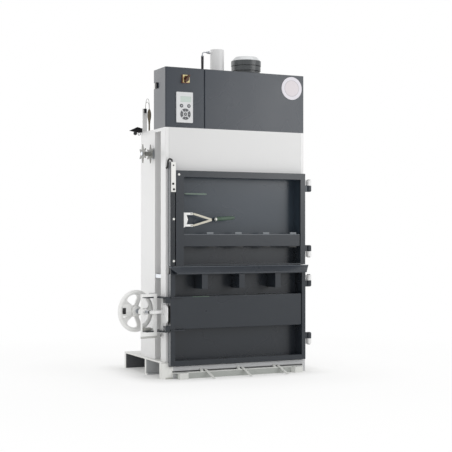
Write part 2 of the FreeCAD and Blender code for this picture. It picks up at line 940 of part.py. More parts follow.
def make_switch_bar():
    """Slim moulded housing of the upper door's safety switch, on the closing strip."""
    x0 = left + switch_bar_left
    x1 = x0 + switch_bar_width
    bar = block(x0, x1, switch_bar_front, door_front, switch_bar_bottom,
                switch_bar_bottom + switch_bar_height)
    corners = upright_edges(bar, x0, switch_bar_front) + upright_edges(bar, x1, switch_bar_front)
    return bar.makeFillet(key_stem, corners)


def make_switch_cable():
    """Short lead from the switch housing round into the front post."""
    z = switch_bar_bottom + switch_bar_height
    x = left + switch_bar_left + switch_bar_width / 2.0
    y = switch_bar_front / 2.0
    x_out = left + cable_loop_left
    crown = z + cable_radius * 2.3
    drop = z - cable_loop_drop
    points = [Vector(x, y, z), Vector(x, y, crown), Vector(x_out, y, crown),
              Vector(x_out, y, drop), Vector(x_out, 0, drop)]
    return bent_pipe(points, cable_radius * 2.2, cable_radius)


# ---------------------------------------------------------------- hinges on the frame
def make_hinge_brackets():
    axis_x = right + hinge_axis_x
    brackets = []
    frame_above = (True, False, True, False)
    for height, on_top in zip(upper_door_hinges + lower_door_hinges, frame_above):
        z0 = height + knuckle_gap if on_top else height - knuckle_gap - frame_knuckle_length
        z1 = z0 + frame_knuckle_length
        barrel = rod(Vector(axis_x, hinge_axis_y, z0), up, knuckle_radius, z1 - z0)
        leaf = block(right, right + hinge_leaf_thickness, hinge_axis_y, hinge_leaf_depth, z0, z1)
        web = plan_prism([(right, hinge_axis_y), (axis_x, hinge_axis_y),
                          (axis_x, hinge_axis_y + knuckle_radius),
                          (right, hinge_leaf_depth / 2.0)], z0, z1)
        bore = rod(Vector(axis_x, hinge_axis_y, z0), up, hinge_pin_radius, z1 - z0)
        brackets.append(fuse([barrel, leaf, web]).cut(bore))
    return Part.makeCompound(brackets)


def make_hinge_pins():
    axis_x = right + hinge_axis_x
    door_reach = knuckle_length + knuckle_gap
    frame_reach = frame_knuckle_length + knuckle_gap
    head = hinge_pin_radius * 1.5
    pins = []
    frame_above = (True, False, True, False)
    for height, on_top in zip(upper_door_hinges + lower_door_hinges, frame_above):
        low = height - door_reach if on_top else height - frame_reach
        shank = rod(Vector(axis_x, hinge_axis_y, low), up, hinge_pin_radius,
                    door_reach + frame_reach)
        cap_z = height + frame_reach if on_top else height - frame_reach - door_sheet
        cap = rod(Vector(axis_x, hinge_axis_y, cap_z), up, head, door_sheet)
        pins.append(fuse([shank, cap]))
    return Part.makeCompound(pins)


# ---------------------------------------------------------------- upper door furniture
def latch_wall_x():
    return left + upper_door_left + upper_rim_left


def latch_pivot_x():
    return latch_wall_x() + latch_bracket_reach - latch_flange_depth / 2.0


def latch_eye_level():
    return latch_arm_rise + latch_flange_height / 2.0


def latch_ear(side):
    """One level ear with a round nose, slotted for the arm's eye, and its pin."""
    x0 = latch_wall_x()
    x1 = latch_pivot_x()
    nose_radius = latch_flange_depth / 2.0
    y0 = latch_plane - nose_radius
    y1 = latch_plane + nose_radius
    middle = latch_place_z + side * latch_eye_level()
    z0 = middle - latch_flange_height / 2.0
    half = latch_eye_thickness / 2.0 + seat_gap
    body = block(x0, x1, y0, y1, z0, z0 + latch_flange_height)
    nose = rod(Vector(x1, latch_plane, z0), up, nose_radius, latch_flange_height)
    slot = block(x1 - latch_eye_radius - seat_gap, x1 + nose_radius, y0, y1,
                 middle - half, middle + half)
    pin = rod(Vector(x1, latch_plane, z0), up, latch_pin_radius, latch_flange_height)
    return fuse([body, nose]).cut(slot).fuse(pin)


def make_latch_bracket():
    """White bracket on the pan's left wall: a notched web and two slotted ears."""
    x0 = latch_wall_x()
    half = latch_bracket_height / 2.0
    z0 = latch_place_z - half
    z1 = latch_place_z + half
    y0 = latch_plane - latch_flange_depth / 2.0
    web_width = latch_bracket_reach / 3.0
    notch = web_width * 0.7
    web = [(x0, z0 - latch_bracket_tail), (x0 + notch, z0), (x0 + web_width, z0 + notch),
           (x0 + web_width + notch / 2.0, latch_place_z), (x0 + web_width, z1 - notch),
           (x0 + notch, z1), (x0, z1)]
    back = front_prism(web, y0, y0 + latch_bracket_sheet)
    return fuse([back, latch_ear(-1.0), latch_ear(1.0)])


def latch_tip():
    return Vector(latch_pivot_x() + latch_tip_reach, latch_plane, latch_place_z)


def raise_grip(shape):
    """Turn what lies beyond the fork up to the grip's slope."""
    shape.rotate(latch_tip(), Vector(0, 1, 0), -latch_grip_tilt)
    return shape


def latch_core():
    """The round bar inside the grip."""
    start = latch_tip() + Vector(latch_ring_gap + latch_ring_length, 0, 0)
    return rod(start, Vector(1, 0, 0), latch_arm_radius, latch_grip_length - latch_arm_radius)


def make_latch_handle():
    """Forked lever: an eye in each ear's slot, two flat arms, a neck and a ring."""
    x0 = latch_pivot_x()
    tip = latch_tip()
    across = Vector(0, 1, 0)
    along = Vector(1, 0, 0)
    arm_x = x0 + latch_flange_depth / 2.0 + latch_arm_radius
    half = latch_arm_thickness / 2.0
    pieces = []
    for side in (-1.0, 1.0):
        level = latch_place_z + side * latch_eye_level()
        z0 = level - latch_eye_thickness / 2.0
        pieces.append(rod(Vector(x0, latch_plane, z0), up, latch_eye_radius,
                          latch_eye_thickness))
        pieces.append(block(x0, arm_x + half, latch_plane - half, latch_plane + half,
                            z0, z0 + latch_eye_thickness))
        arm_start = Vector(arm_x, latch_plane, level)
        pieces.append(flat_bar(arm_start, tip, across, latch_arm_thickness, latch_arm_width))
    neck = rod(tip, along, latch_arm_radius, latch_ring_gap)
    ring = rod(tip + along * latch_ring_gap, along, latch_ring_radius, latch_ring_length)
    pieces.append(raise_grip(fuse([neck, ring, latch_core()])))
    pieces.append(Part.makeSphere(latch_arm_width / 2.0, tip))
    lever = fuse(pieces)
    reach = latch_bracket_height / 2.0
    bore = rod(Vector(x0, latch_plane, latch_place_z - reach), up,
               latch_pin_radius + fit_gap, reach * 2.0)
    return lever.cut(bore)


def make_latch_grip():
    """Green moulded sleeve on the lever, fuller near the ring and slimmer at its end."""
    x0 = latch_tip().x + latch_ring_gap + latch_ring_length
    x1 = x0 + latch_grip_length
    full = latch_grip_radius
    slim = latch_grip_end_radius
    profile = [Vector(x0, 0, 0), Vector(x0, 0, full - key_proud),
               Vector(x0 + latch_arm_radius, 0, full),
               Vector(x0 + latch_grip_length / 3.0, 0, full),
               Vector(x1 - latch_arm_radius, 0, slim),
               Vector(x1, 0, slim - key_proud * 2.0), Vector(x1, 0, 0)]
    face = Part.Face(Part.makePolygon(profile + profile[:1]))
    grip = face.revolve(Vector(0, 0, 0), Vector(1, 0, 0), 360)
    grip.translate(Vector(0, latch_plane, latch_place_z))
    return raise_grip(grip.cut(latch_core()))


def make_grab_rod():
    """Fixed grab rod with a green sleeve, out of the pan's left wall."""
    x0 = latch_wall_x()
    start = Vector(x0, latch_plane, grab_rod_z)
    along = Vector(1, 0, 0)
    bar = rod(start, along, grab_rod_radius, grab_rod_length - grab_grip_length)
    grip_start = start + along * (grab_rod_length - grab_grip_length)
    grip = rod(grip_start, along, grab_grip_radius, grab_grip_length)
    ends = [edge for edge in grip.Edges if edge.Length < grab_grip_radius * 7.0]
    rims = [edge for edge in ends if len(edge.Vertexes) == 1]
    grip = grip.makeFillet(grab_grip_radius / 2.0, rims)
    collar = rod(start, along, grab_grip_radius * 1.4, door_sheet)
    return fuse([bar, grip, collar])


# ---------------------------------------------------------------- door lock
def lock_axis():
    """The spindle's direction: forwards, turned a little towards the door."""
    turn = math.radians(lock_turn)
    return Vector(math.sin(turn), -math.cos(turn), 0)


def lock_across():
    turn = math.radians(lock_turn)
    return Vector(math.cos(turn), math.sin(turn), 0)


def wheel_place():
    return wheel_centre + Vector(left, 0, 0)


def lock_point(along, across):
    """A place in the lock's own plan: along the spindle and across it."""
    return wheel_place() + lock_axis() * along + lock_across() * across


def lock_box(s0, s1, v0, v1, z0, z1):
    """A box that lies square to the spindle."""
    corners = [lock_point(s, v) for s, v in ((s0, v0), (s1, v0), (s1, v1), (s0, v1))]
    return plan_prism([(corner.x, corner.y) for corner in corners], z0, z1)


def lock_bar(s0, s1, radius):
    return rod(lock_point(s0, 0), lock_axis(), radius, s1 - s0)


def pad_face():
    return yoke_start + yoke_depth + pad_reach + pad_thickness


def make_handwheel():
    """Cast wheel: round rim, dished web with five rounded windows and a hub."""
    tube = wheel_rim
    ring = Part.makeTorus(wheel_radius - tube, tube, Vector(0, 0, 0), up)
    squash = FreeCAD.Matrix()
    squash.scale(1.0, 1.0, wheel_thickness / (2.0 * tube))
    ring = ring.transformGeometry(squash)
    web_outer = wheel_radius - tube
    half = wheel_thickness / 4.0
    hub_half = wheel_hub_length / 2.0
    profile = [Vector(0, 0, -wheel_dish - half), Vector(wheel_hub_radius, 0, -wheel_dish - half),
               Vector(web_outer, 0, -half), Vector(web_outer, 0, half),
               Vector(wheel_hub_radius, 0, -wheel_dish + half), Vector(0, 0, -wheel_dish + half)]
    face = Part.Face(Part.makePolygon(profile + profile[:1]))
    web = face.revolve(Vector(0, 0, 0), up, 360)
    inner = wheel_hub_radius + wheel_rim
    outer = web_outer - wheel_rim * 0.8
    middle = (inner + outer) / 2.0
    step = 360.0 / spoke_count
    for number in range(spoke_count):
        window = wheel_window(inner, outer, middle, step)
        window.rotate(Vector(0, 0, 0), up, step * (number + 0.5))
        web = web.cut(window)
    hub = rod(Vector(0, 0, -hub_half), up, wheel_hub_radius, wheel_hub_length)
    wheel = ring.fuse([web, hub])
    bore = rod(Vector(0, 0, -hub_half), up, spindle_radius, wheel_hub_length)
    wheel = wheel.cut(bore)
    return place_on_lock(wheel)


def wheel_window(inner, outer, middle, step):
    """A rounded opening between two spokes, centred on the X axis."""
    half_turn = math.radians(step / 2.0)
    edge_gap = spoke_width / 2.0
    narrow = inner * math.sin(half_turn) - edge_gap
    wide = outer * math.sin(half_turn) - edge_gap
    deep = wheel_thickness * 3.0
    near = Vector(inner * math.cos(half_turn), -narrow, -deep / 2.0)
    near_far = Vector(near.x, narrow, near.z)
    far = Vector(outer * math.cos(half_turn), -wide, near.z)
    far_far = Vector(far.x, wide, near.z)
    crown = Vector(outer, 0, near.z)
    edges = [Part.LineSegment(near, far).toShape(), Part.Arc(far, crown, far_far).toShape(),
             Part.LineSegment(far_far, near_far).toShape(),
             Part.LineSegment(near_far, near).toShape()]
    solid = Part.Face(Part.Wire(edges)).extrude(Vector(0, 0, deep))
    corners = [edge for edge in solid.Edges if edge_runs_along(edge, up)]
    outer_corners = [edge for edge in corners if edge.CenterOfMass.x > middle]
    solid = solid.makeFillet(window_round, outer_corners)
    inner_corners = [edge for edge in solid.Edges
                     if edge_runs_along(edge, up) and edge.CenterOfMass.x < near.x + seat_gap]
    return solid.makeFillet(narrow * 0.8, inner_corners)


def place_on_lock(shape):
    """Turn a shape made about the Z axis onto the spindle's axis at the wheel."""
    turned = shape.copy()
    turned.rotate(Vector(0, 0, 0), Vector(1, 0, 0), 90)
    turned.rotate(Vector(0, 0, 0), up, lock_turn)
    turned.translate(wheel_place())
    return turned


def make_spindle():
    """Screw spindle: shank through the wheel, a hub nut behind and a turned nose."""
    hub_half = wheel_hub_length / 2.0
    socket = pad_face() - pad_thickness + pad_socket_depth
    shank_end = pad_face() - pad_thickness - seat_gap
    shank = lock_bar(-hub_half - hub_nut_length, shank_end, spindle_radius)
    nose = lock_bar(shank_end, socket - seat_gap, spindle_nose_radius)
    nut = lock_bar(-hub_half - hub_nut_length, -hub_half, hub_nut_radius)
    collar = lock_bar(hub_half, hub_half + hub_nut_length, hub_nut_radius)
    return fuse([shank, nose, nut, collar])


def make_pad():
    """Swivel pad at the end of the spindle."""
    disc = lock_bar(pad_face() - pad_thickness, pad_face(), pad_radius)
    socket = lock_bar(pad_face() - pad_thickness, pad_face() - pad_thickness + pad_socket_depth,
                      spindle_nose_radius + fit_gap)
    return disc.cut(socket)


def make_yoke():
    """White welded frame round the spindle, with a bridge behind it for the threaded tube."""
    s0 = yoke_start
    s1 = yoke_start + yoke_depth
    b0 = yoke_bridge_start
    b1 = yoke_bridge_start + yoke_bridge
    far_inner = yoke_right - yoke_right_bar
    near_inner = yoke_left + yoke_left_bar
    low = wheel_centre.z - yoke_crossbar / 2.0
    high = wheel_centre.z + yoke_crossbar / 2.0
    parts = [
        lock_box(s0, s1, yoke_left, yoke_right, claw_top, yoke_top),
        lock_box(s0, s1, yoke_left, yoke_right, yoke_bottom, claw_bottom),
        lock_box(s0, s1, yoke_left, near_inner, claw_bottom, claw_top),
        lock_box(s0, s1, far_inner, yoke_right, claw_bottom, claw_top),
        lock_box(b0, b1, yoke_left, yoke_right, low, high),
        lock_box(b1, s0, yoke_left, near_inner, low, high),
        lock_box(b1, s0, far_inner, yoke_right, low, high),
        lock_bar(nut_tube_start, b1, nut_tube_radius)]
    bore = lock_bar(nut_tube_start, b1, spindle_radius + fit_gap)
    return fuse(parts).cut(bore)


def claw_outline():
    """Plan of the claw plates: from the pivot, past the post, to the door's edge."""
    face = left - claw_clear
    hook = left + lower_door_left - claw_clear
    near_inner = yoke_left + yoke_left_bar
    front_left = lock_point(yoke_start + yoke_depth, near_inner)
    front_right = lock_point(yoke_start + yoke_depth, yoke_right)
    rear_left = lock_point(claw_web_start, near_inner)
    rear_right = lock_point(claw_web_start, yoke_right - yoke_right_bar)
    return [(front_left.x, front_left.y), (rear_left.x, rear_left.y),
            (rear_right.x, rear_right.y),
            (left - claw_hip, claw_hip_depth),
            (left - claw_heel, lock_pivot.y - lock_eye_radius * 1.9),
            (left - claw_heel, lock_pivot.y), (left - claw_clear * 1.7, lock_pivot.y),
            (face, lock_pivot.y - lock_eye_radius), (face, -claw_clear * 2.0),
            (hook, -claw_clear * 2.0), (hook, door_front), (left - claw_nose, door_front),
            (front_right.x, front_right.y)]


def make_claw():
    """Two dark plates with cheeks: the claws that hold the door's left edge."""
    pivot = lock_pivot + Vector(left, 0, 0)
    hook = left + lower_door_left - claw_clear
    pieces = []
    for z0 in (claw_bottom, claw_top - claw_plate):
        plate = plan_prism(claw_outline(), z0, z0 + claw_plate)
        eye = rod(pivot + Vector(0, 0, z0), up, lock_eye_radius, claw_plate)
        pieces.append(plate.fuse(eye))
    for z0, z1 in ((claw_bottom, claw_bottom + claw_plate + claw_cheek),
                   (claw_top - claw_plate - claw_cheek, claw_top)):
        pieces.append(block(hook - claw_cheek, hook, door_front - claw_clear,
                            -claw_clear * 2.0, z0, z1))
    claw = fuse(pieces)
    s0 = yoke_start
    s1 = yoke_start + yoke_depth
    notch = lock_box(s0, s1, yoke_right - yoke_right_bar, yoke_right, claw_bottom, claw_top)
    bore = rod(pivot + Vector(0, 0, claw_bottom), up, lock_pin_radius + fit_gap,
               claw_top - claw_bottom)
    return claw.cut(notch).cut(bore)


def make_lock_ears():
    """Two ears on the left column, each with the short pin that carries a claw plate."""
    pivot = lock_pivot + Vector(left, 0, 0)
    reach = claw_plate + seat_gap + lock_ear_thickness
    ears = []
    for z0 in (claw_bottom - lock_ear_thickness - seat_gap, claw_top + seat_gap):
        plate = block(pivot.x, left, pivot.y - lock_eye_radius, pivot.y + lock_eye_radius,
                      z0, z0 + lock_ear_thickness)
        eye = rod(pivot + Vector(0, 0, z0), up, lock_eye_radius, lock_ear_thickness)
        pin_z = z0 if z0 < claw_bottom else claw_top - claw_plate
        pin = rod(pivot + Vector(0, 0, pin_z), up, lock_pin_radius, reach)
        head_z = z0 - door_sheet if z0 < claw_bottom else z0 + lock_ear_thickness
        head = rod(pivot + Vector(0, 0, head_z), up, lock_pin_radius * 1.6, door_sheet)
        ears.append(fuse([plate, eye, pin, head]))
    return Part.makeCompound(ears)


def make_lock_anchor():
    """Keeper plate on the post's left side, with a tongue in front of the spindle's pad."""
    z = wheel_centre.z
    outline = [(anchor_front + anchor_chamfer, anchor_bottom), (anchor_back, anchor_bottom),
               (anchor_back, anchor_top), (anchor_front + anchor_chamfer, anchor_top),
               (anchor_front, anchor_top - anchor_chamfer),
               (anchor_front, anchor_bottom + anchor_chamfer)]
    plate = side_prism(outline, left - anchor_plate, left)
    s0 = pad_face() + seat_gap
    reach = (-wheel_centre.x - math.sin(math.radians(lock_turn)) * s0) / lock_across().x
    half = anchor_tongue_height / 2.0
    tongue = lock_box(s0, s0 + anchor_tongue_depth, -pad_radius * 0.7, reach + anchor_plate,
                      z - half, z + half)
    beside = block(left - body_width, left, -post_depth, post_depth, anchor_bottom, anchor_top)
    flare = anchor_gusset_height / 2.0
    root_y = lock_point(s0, reach).y
    x0 = left - anchor_plate
    gusset = front_prism([(x0, z - flare), (x0, z + flare), (x0 - anchor_gusset_reach, z)],
                         root_y - anchor_tongue_depth, root_y)
    return fuse([plate, tongue.common(beside), gusset])


# ---------------------------------------------------------------- press
def make_barrel():
    """Cylinder barrel with end cap, rod gland and the flange on the crosshead."""
    start = Vector(0, cylinder_y, barrel_bottom)
    length = barrel_top - barrel_bottom
    tube = rod(start, up, barrel_radius, length)
    flange = rod(Vector(0, cylinder_y, body_top), up, flange_radius, flange_thickness)
    port = rod(Vector(0, cylinder_y, pipe_height), Vector(-1, 0, 0), fitting_nut_radius,
               barrel_radius + fitting_nut_radius)
    body = fuse([tube, flange, port])
    top_edges = []
    for edge in body.Edges:
        middle = edge.CenterOfMass
        if len(edge.Vertexes) == 1 and abs(middle.z - barrel_top) < seat_gap:
            top_edges.append(edge)
    body = body.makeFillet(door_sheet, top_edges)
    bore = rod(Vector(0, cylinder_y, barrel_bottom + gland_length), up, barrel_bore,
               length - gland_length - barrel_cap)
    gland = rod(start, up, rod_radius + fit_gap, gland_length)
    return body.cut(bore).cut(gland)


def make_piston_rod():
    """Rod, piston and the round foot bolted into the platen."""
    bottom = platen_bottom + platen_plate
    piston_top = barrel_top - barrel_cap - seat_gap
    shaft = rod(Vector(0, cylinder_y, bottom), up, rod_radius, piston_top - bottom)
    piston = rod(Vector(0, cylinder_y, piston_top - piston_length), up,
                 barrel_bore - fit_gap, piston_length)
    foot = rod(Vector(0, cylinder_y, bottom), up, rod_collar, platen_rib)
    return fuse([shaft, piston, foot])


def make_platen():
    """Press plate: grooved thick plate with a welded grid of ribs above it."""
    x0 = chamber_left + platen_gap
    x1 = chamber_right - platen_gap
    y0 = platen_front
    y1 = chamber_back - platen_gap
    z1 = platen_bottom + platen_plate
    z2 = platen_bottom + platen_height
    plate = block(x0, x1, y0, y1, platen_bottom, z1)
    half = strap_groove_width / 2.0
    for x in strap_places:
        plate = plate.cut(block(x - half, x + half, y0, y1, platen_bottom,
                                platen_bottom + strap_groove_depth))
    ribs = []
    for x in (x0, x0 / 2.0, -x0 / 2.0 - platen_rib, x1 - platen_rib):
        ribs.append(block(x, x + platen_rib, y0, y1, z1, z2))
    for y in (y0, y1 - platen_rib):
        ribs.append(block(x0, x1, y, y + platen_rib, z1, z2))
    for side in (-1.0, 1.0):
        y = cylinder_y + side * (flange_radius + platen_rib)
        ribs.append(block(x0, x1, y, y + platen_rib, z1, z2))
    return fuse([plate] + ribs)


def make_tank():
    """Oil tank of the power pack, with a rounded lid plate."""
    x0 = motor_x - tank_width / 2.0
    y0 = cover_depth + column_sheet
    lid = door_sheet * 2.0
    case = block(x0, x0 + tank_width, y0, y0 + tank_depth, body_top, body_top + tank_height)
    corners = [edge for edge in case.Edges if edge_runs_along(edge, up)]
    case = case.makeFillet(lid * 2.0, corners)
    top = block(x0 - lid, x0 + tank_width + lid, y0 + seat_gap, y0 + tank_depth + lid,
                body_top + tank_height, body_top + tank_height + lid)
    return fuse([case, top])


def motor_bottom():
    return body_top + tank_height + door_sheet * 2.0


def make_motor():
    """Upright motor: bell housing, a drum with level cooling fins and a smooth end band."""
    z0 = motor_bottom()
    z1 = z0 + motor_height
    band = z1 - motor_band
    profile = [Vector(0, 0, z0), Vector(motor_core_radius, 0, z0),
               Vector(motor_core_radius, 0, z0 + bell_height)]
    z = z0 + bell_height
    while z + motor_fin_pitch <= band:
        profile.append(Vector(motor_radius, 0, z + motor_fin / 4.0))
        profile.append(Vector(motor_radius, 0, z + motor_fin))
        profile.append(Vector(motor_core_radius, 0, z + motor_fin * 1.25))
        profile.append(Vector(motor_core_radius, 0, z + motor_fin_pitch))
        z = z + motor_fin_pitch
    profile.append(Vector(motor_core_radius, 0, band))
    profile.append(Vector(motor_radius, 0, band))
    profile.append(Vector(motor_radius, 0, z1 - motor_groove))
    profile.append(Vector(motor_core_radius, 0, z1 - motor_groove))
    profile.append(Vector(motor_core_radius, 0, z1))
    profile.append(Vector(0, 0, z1))
    face = Part.Face(Part.makePolygon(profile + profile[:1]))
    drum = face.revolve(Vector(0, 0, 0), up, 360)
    drum.translate(Vector(motor_x, motor_y, 0))
    return drum


def make_motor_lid():
    """Fan cowl: a drawn cap with a sloping shoulder and a low crown."""
    z0 = motor_bottom() + motor_height
    rise = motor_lid_height
    edge = motor_lid_wall
    profile = [Vector(0, 0, z0), Vector(motor_radius + badge_thickness, 0, z0),
               Vector(motor_radius + badge_thickness, 0, z0 + edge),
               Vector(motor_lid_flat, 0, z0 + rise - badge_thickness),
               Vector(0, 0, z0 + rise)]
    face = Part.Face(Part.makePolygon(profile + profile[:1]))
    cap = face.revolve(Vector(0, 0, 0), up, 360)
    cap.translate(Vector(motor_x, motor_y, 0))
    return cap


def make_oil_pipe():
    """Thin bent pipe with two union nuts at the barrel and a crimped sleeve at the hose."""
    start_x = -barrel_radius - fitting_nut_radius
    nut = fitting_nut_radius
    start = Vector(start_x, cylinder_y, pipe_height)
    corner = Vector(hose_x, cylinder_y, pipe_height)
    end = Vector(hose_x, cylinder_y, pipe_height - sleeve_length / 2.0)
    pipe = bent_pipe([start, corner, end], pipe_bend, pipe_radius)
    outward = Vector(-1, 0, 0)
    first = rod(start, outward, nut * 0.9, nut * 0.8)
    second = rod(start + outward * nut, outward, nut * 0.8, nut * 0.8)
    low = pipe_height - sleeve_length * 1.5
    sleeve = rod(Vector(hose_x, cylinder_y, low), up, sleeve_radius, sleeve_length)
    return fuse([pipe, first, second, sleeve])


def make_oil_hose():
    """Black hose from the sleeve down, behind the barrel and into the tank's side."""
    z1 = pipe_height - sleeve_length * 1.5
    tank_side = motor_x - tank_width / 2.0
    level = body_top + tank_height / 2.0
    behind = cylinder_y + barrel_radius + hose_radius + hose_clear
    points = [Vector(hose_x, cylinder_y, z1), Vector(hose_x, cylinder_y, level),
              Vector(0, behind, level), Vector(tank_side, behind, level)]
    return bent_pipe(points, hose_bend, hose_radius)


# ---------------------------------------------------------------- left side items
def star_plate(x):
    """A flat six-armed spider that keeps a strap coil on its hub."""
    hub = rod(Vector(x, 0, 0), Vector(1, 0, 0), star_hub, star_thickness)
    pieces = [hub]
    for number in range(6):
        outline = [(-star_arm / 2.0, 0), (star_arm / 2.0, 0), (star_tip / 2.0, star_radius),
                   (-star_tip / 2.0, star_radius)]
        arm = side_prism(outline, x, x + star_thickness)
        arm.rotate(Vector(0, 0, 0), Vector(1, 0, 0), 60.0 * number)
        pieces.append(arm)
    return fuse(pieces)


def make_strap_reel():
    """Strap reel: two spiders on one tube that turns on the shaft."""
    inner = left - reel_inner_star
    outer = left - reel_outer_star
    length = reel_outer_star - reel_inner_star
    tube = rod(Vector(outer, 0, 0), Vector(1, 0, 0), star_hub * 0.7, length)
    reel = fuse([tube, star_plate(outer), star_plate(inner)])
    bore = rod(Vector(outer, 0, 0), Vector(1, 0, 0), reel_shaft_radius + fit_gap,
               length + star_thickness)
    reel = reel.cut(bore)
    reel.translate(Vector(0, reel_y, reel_z))
    return reel


def make_reel_shaft():
    """Wall plate with the fixed shaft and its end cap."""
    half = reel_plate / 2.0
    inward = Vector(-1, 0, 0)
    cap = star_thickness
    plate = block(left - reel_plate_thickness, left, reel_y - half / 2.0, reel_y + half / 2.0,
                  reel_z - half, reel_z + half)
    boss_length = reel_inner_star - star_thickness - seat_gap
    boss = rod(Vector(left, reel_y, reel_z), inward, star_hub * 0.6, boss_length)
    shaft_length = reel_outer_star + seat_gap
    shaft = rod(Vector(left, reel_y, reel_z), inward, reel_shaft_radius, shaft_length + cap)
    end = rod(Vector(left - shaft_length, reel_y, reel_z), inward, star_hub * 0.6, cap)
    return fuse([plate, boss, shaft, end])


def make_switch_stay():
    """White flat bar that stands on the crosshead and carries the limit switch."""
    x0 = left + stay_x
    bar = block(x0, x0 + stay_width, stay_y, stay_y + stay_thickness, body_top,
                body_top + stay_height)
    foot = block(x0, x0 + stay_width, stay_y - stay_width, stay_y, body_top,
                 body_top + stay_thickness)
    return fuse([bar, foot])


def make_limit_switch():
    """Black switch body on the front of the stay, at its top."""
    x0 = left + stay_x + (stay_width - stay_switch_width) / 2.0
    z1 = body_top + stay_height
    return block(x0, x0 + stay_switch_width, stay_y - stay_switch_width, stay_y,
                 z1 - stay_switch_height, z1)


def make_strap_hook():
    """Black pointed blade with a ball and a ring, on the top corner, for the strap ends."""
    y = stay_y + stay_thickness + hook_thickness / 2.0 + seat_gap
    heel = left + stay_x + hook_thickness
    outline = [(heel, body_top), (heel, body_top + hook_rise * 0.7),
               (left - hook_reach / 3.0, body_top + hook_rise),
               (left - hook_reach, body_top + hook_thickness), (left - hook_reach / 3.0, body_top)]
    blade = front_prism(outline, y - hook_thickness / 2.0, y + hook_thickness / 2.0)
    ball_x = left - hook_reach / 2.0
    ball = Part.makeSphere(hook_ball, Vector(ball_x, y, body_top - hook_ball / 2.0))
    ring_x = left - hook_ring - cable_radius
    ring = Part.makeTorus(hook_ring, door_sheet / 2.0, Vector(ring_x, y, body_top - hook_ring),
                          Vector(0, 1, 0))
    return fuse([blade, ball, ring])


def lead_sleeve():
    """The tapered sleeve that gathers the sensor leads on the crosshead."""
    base = Vector(left + stay_x + sleeve_shift, stay_y, body_top)
    narrow = lead_radius * 3.6
    wide = lead_radius * 8.0
    low = stay_height * 0.42
    belly = stay_height * 0.72
    top = stay_height
    profile = [Vector(0, 0, 0), Vector(narrow, 0, 0), Vector(narrow, 0, low),
               Vector(wide * 0.9, 0, belly * 0.85), Vector(wide, 0, belly),
               Vector(wide * 0.85, 0, top * 0.92),
               Vector(narrow * 0.7, 0, top), Vector(0, 0, top)]
    face = Part.Face(Part.makePolygon(profile + profile[:1]))
    sleeve = face.revolve(Vector(0, 0, 0), up, 360)
    sleeve.translate(base)
    return sleeve


def make_sensor_leads():
    """Sensor harness: a brown tapered sleeve and two stiff leads that arch to the stay."""
    base = Vector(left + stay_x + sleeve_shift, stay_y, body_top + stay_height)
    stay_top = Vector(left + stay_x + stay_width * 0.7, stay_y + stay_thickness / 2.0,
                      body_top + stay_height)
    radius = lead_radius
    rises = (stay_width * 2.2, stay_width * 1.5)
    shifts = (-radius * 1.5, radius * 1.5)
    leads = []
    for rise, shift in zip(rises, shifts):
        start = base + Vector(0, shift, 0)
        end = stay_top + Vector(0, shift, 0)
        crown = stay_top.z + rise
        points = [start, Vector(start.x, start.y, crown), Vector(end.x, end.y, crown), end]
        bend = (start - end).Length * 0.3
        leads.append(bent_pipe(points, bend, radius))
    return fuse([lead_sleeve()] + leads)


def make_side_bracket():
    """Small grey angle in the gap between post and column."""
    z0 = upper_door_bottom - post_depth
    y0 = post_depth
    y1 = column_front
    top = z0 + post_width
    foot = block(left + claw_clear, left + post_width, y0, y1, z0, z0 + column_sheet)
    wall = block(left + claw_clear, left + claw_clear + column_sheet, y0, y1,
                 z0 + column_sheet, top)
    return fuse([foot, wall])


# ---------------------------------------------------------------- write every piece
pieces = {
    "base_frame": make_base(),
    "threshold_step": make_step(),
    "front_posts": both_sides(make_post()),
    "rear_columns": both_sides(make_column()),
    "chamber_walls": both_sides(make_chamber_wall()),
    "chamber_back": make_chamber_back(),
    "back_beams": make_back_beams(),
    "chamber_floor": make_floor(),
    "crosshead": make_crosshead(),
    "front_panel": make_front_panel(),
    "cover_left": make_cover(left, left + cover_seam_place - cover_seam / 2.0),
    "cover_right": make_cover(left + cover_seam_place + cover_seam / 2.0, right),
    "side_socket": make_side_socket(),
    "switch_plate": make_switch_plate(),
    "main_switch": make_switch_knob(),
    "keypad_case": make_keypad(),
    "display": make_display(),
    "key_left": round_key(key_place(left_key_place, round_key_height), key_radius),
    "key_right": round_key(key_place(right_key_place, round_key_height), key_radius),
    "key_ring": make_ring_key(),
    "key_centre": round_key(key_place(ring_place, ring_height), centre_key_radius),
    "round_plate": make_badge(),
    "latch_strip": make_latch_strip(),
    "door_switch": make_switch_bar(),
    "switch_cable": make_switch_cable(),
    "hinge_brackets": make_hinge_brackets(),
    "hinge_pins": make_hinge_pins(),
    "lock_anchor": make_lock_anchor(),
    "lock_ears": make_lock_ears(),
    "cylinder_barrel": make_barrel(),
    "oil_tank": make_tank(),
    "motor": make_motor(),
    "motor_lid": make_motor_lid(),
    "oil_pipe": make_oil_pipe(),
    "oil_hose": make_oil_hose(),
    "reel_shaft": make_reel_shaft(),
    "switch_stay": make_switch_stay(),
    "limit_switch": make_limit_switch(),
    "strap_hook": make_strap_hook(),
    "sensor_leads": make_sensor_leads(),
    "side_bracket": make_side_bracket(),
    "upper_door": make_upper_door(),
    "upper_beam": make_upper_beam(),
    "strap_clips": make_strap_clips(),
    "latch_bracket": make_latch_bracket(),
    "grab_rod": make_grab_rod(),
    "latch_handle": make_latch_handle(),
    "latch_grip": make_latch_grip(),
    "lower_door": make_lower_door(),
    "lower_beam": make_lower_beam(),
    "strap_boxes": make_strap_boxes(),
    "lock_cleats": make_lock_cleats(),
    "lock_claw": make_claw(),
    "lock_yoke": make_yoke(),
    "clamp_pad": make_pad(),
    "spindle": make_spindle(),
    "handwheel": make_handwheel(),
    "strap_reel": make_strap_reel(),
    "piston_rod": make_piston_rod(),
    "platen": make_platen(),
}

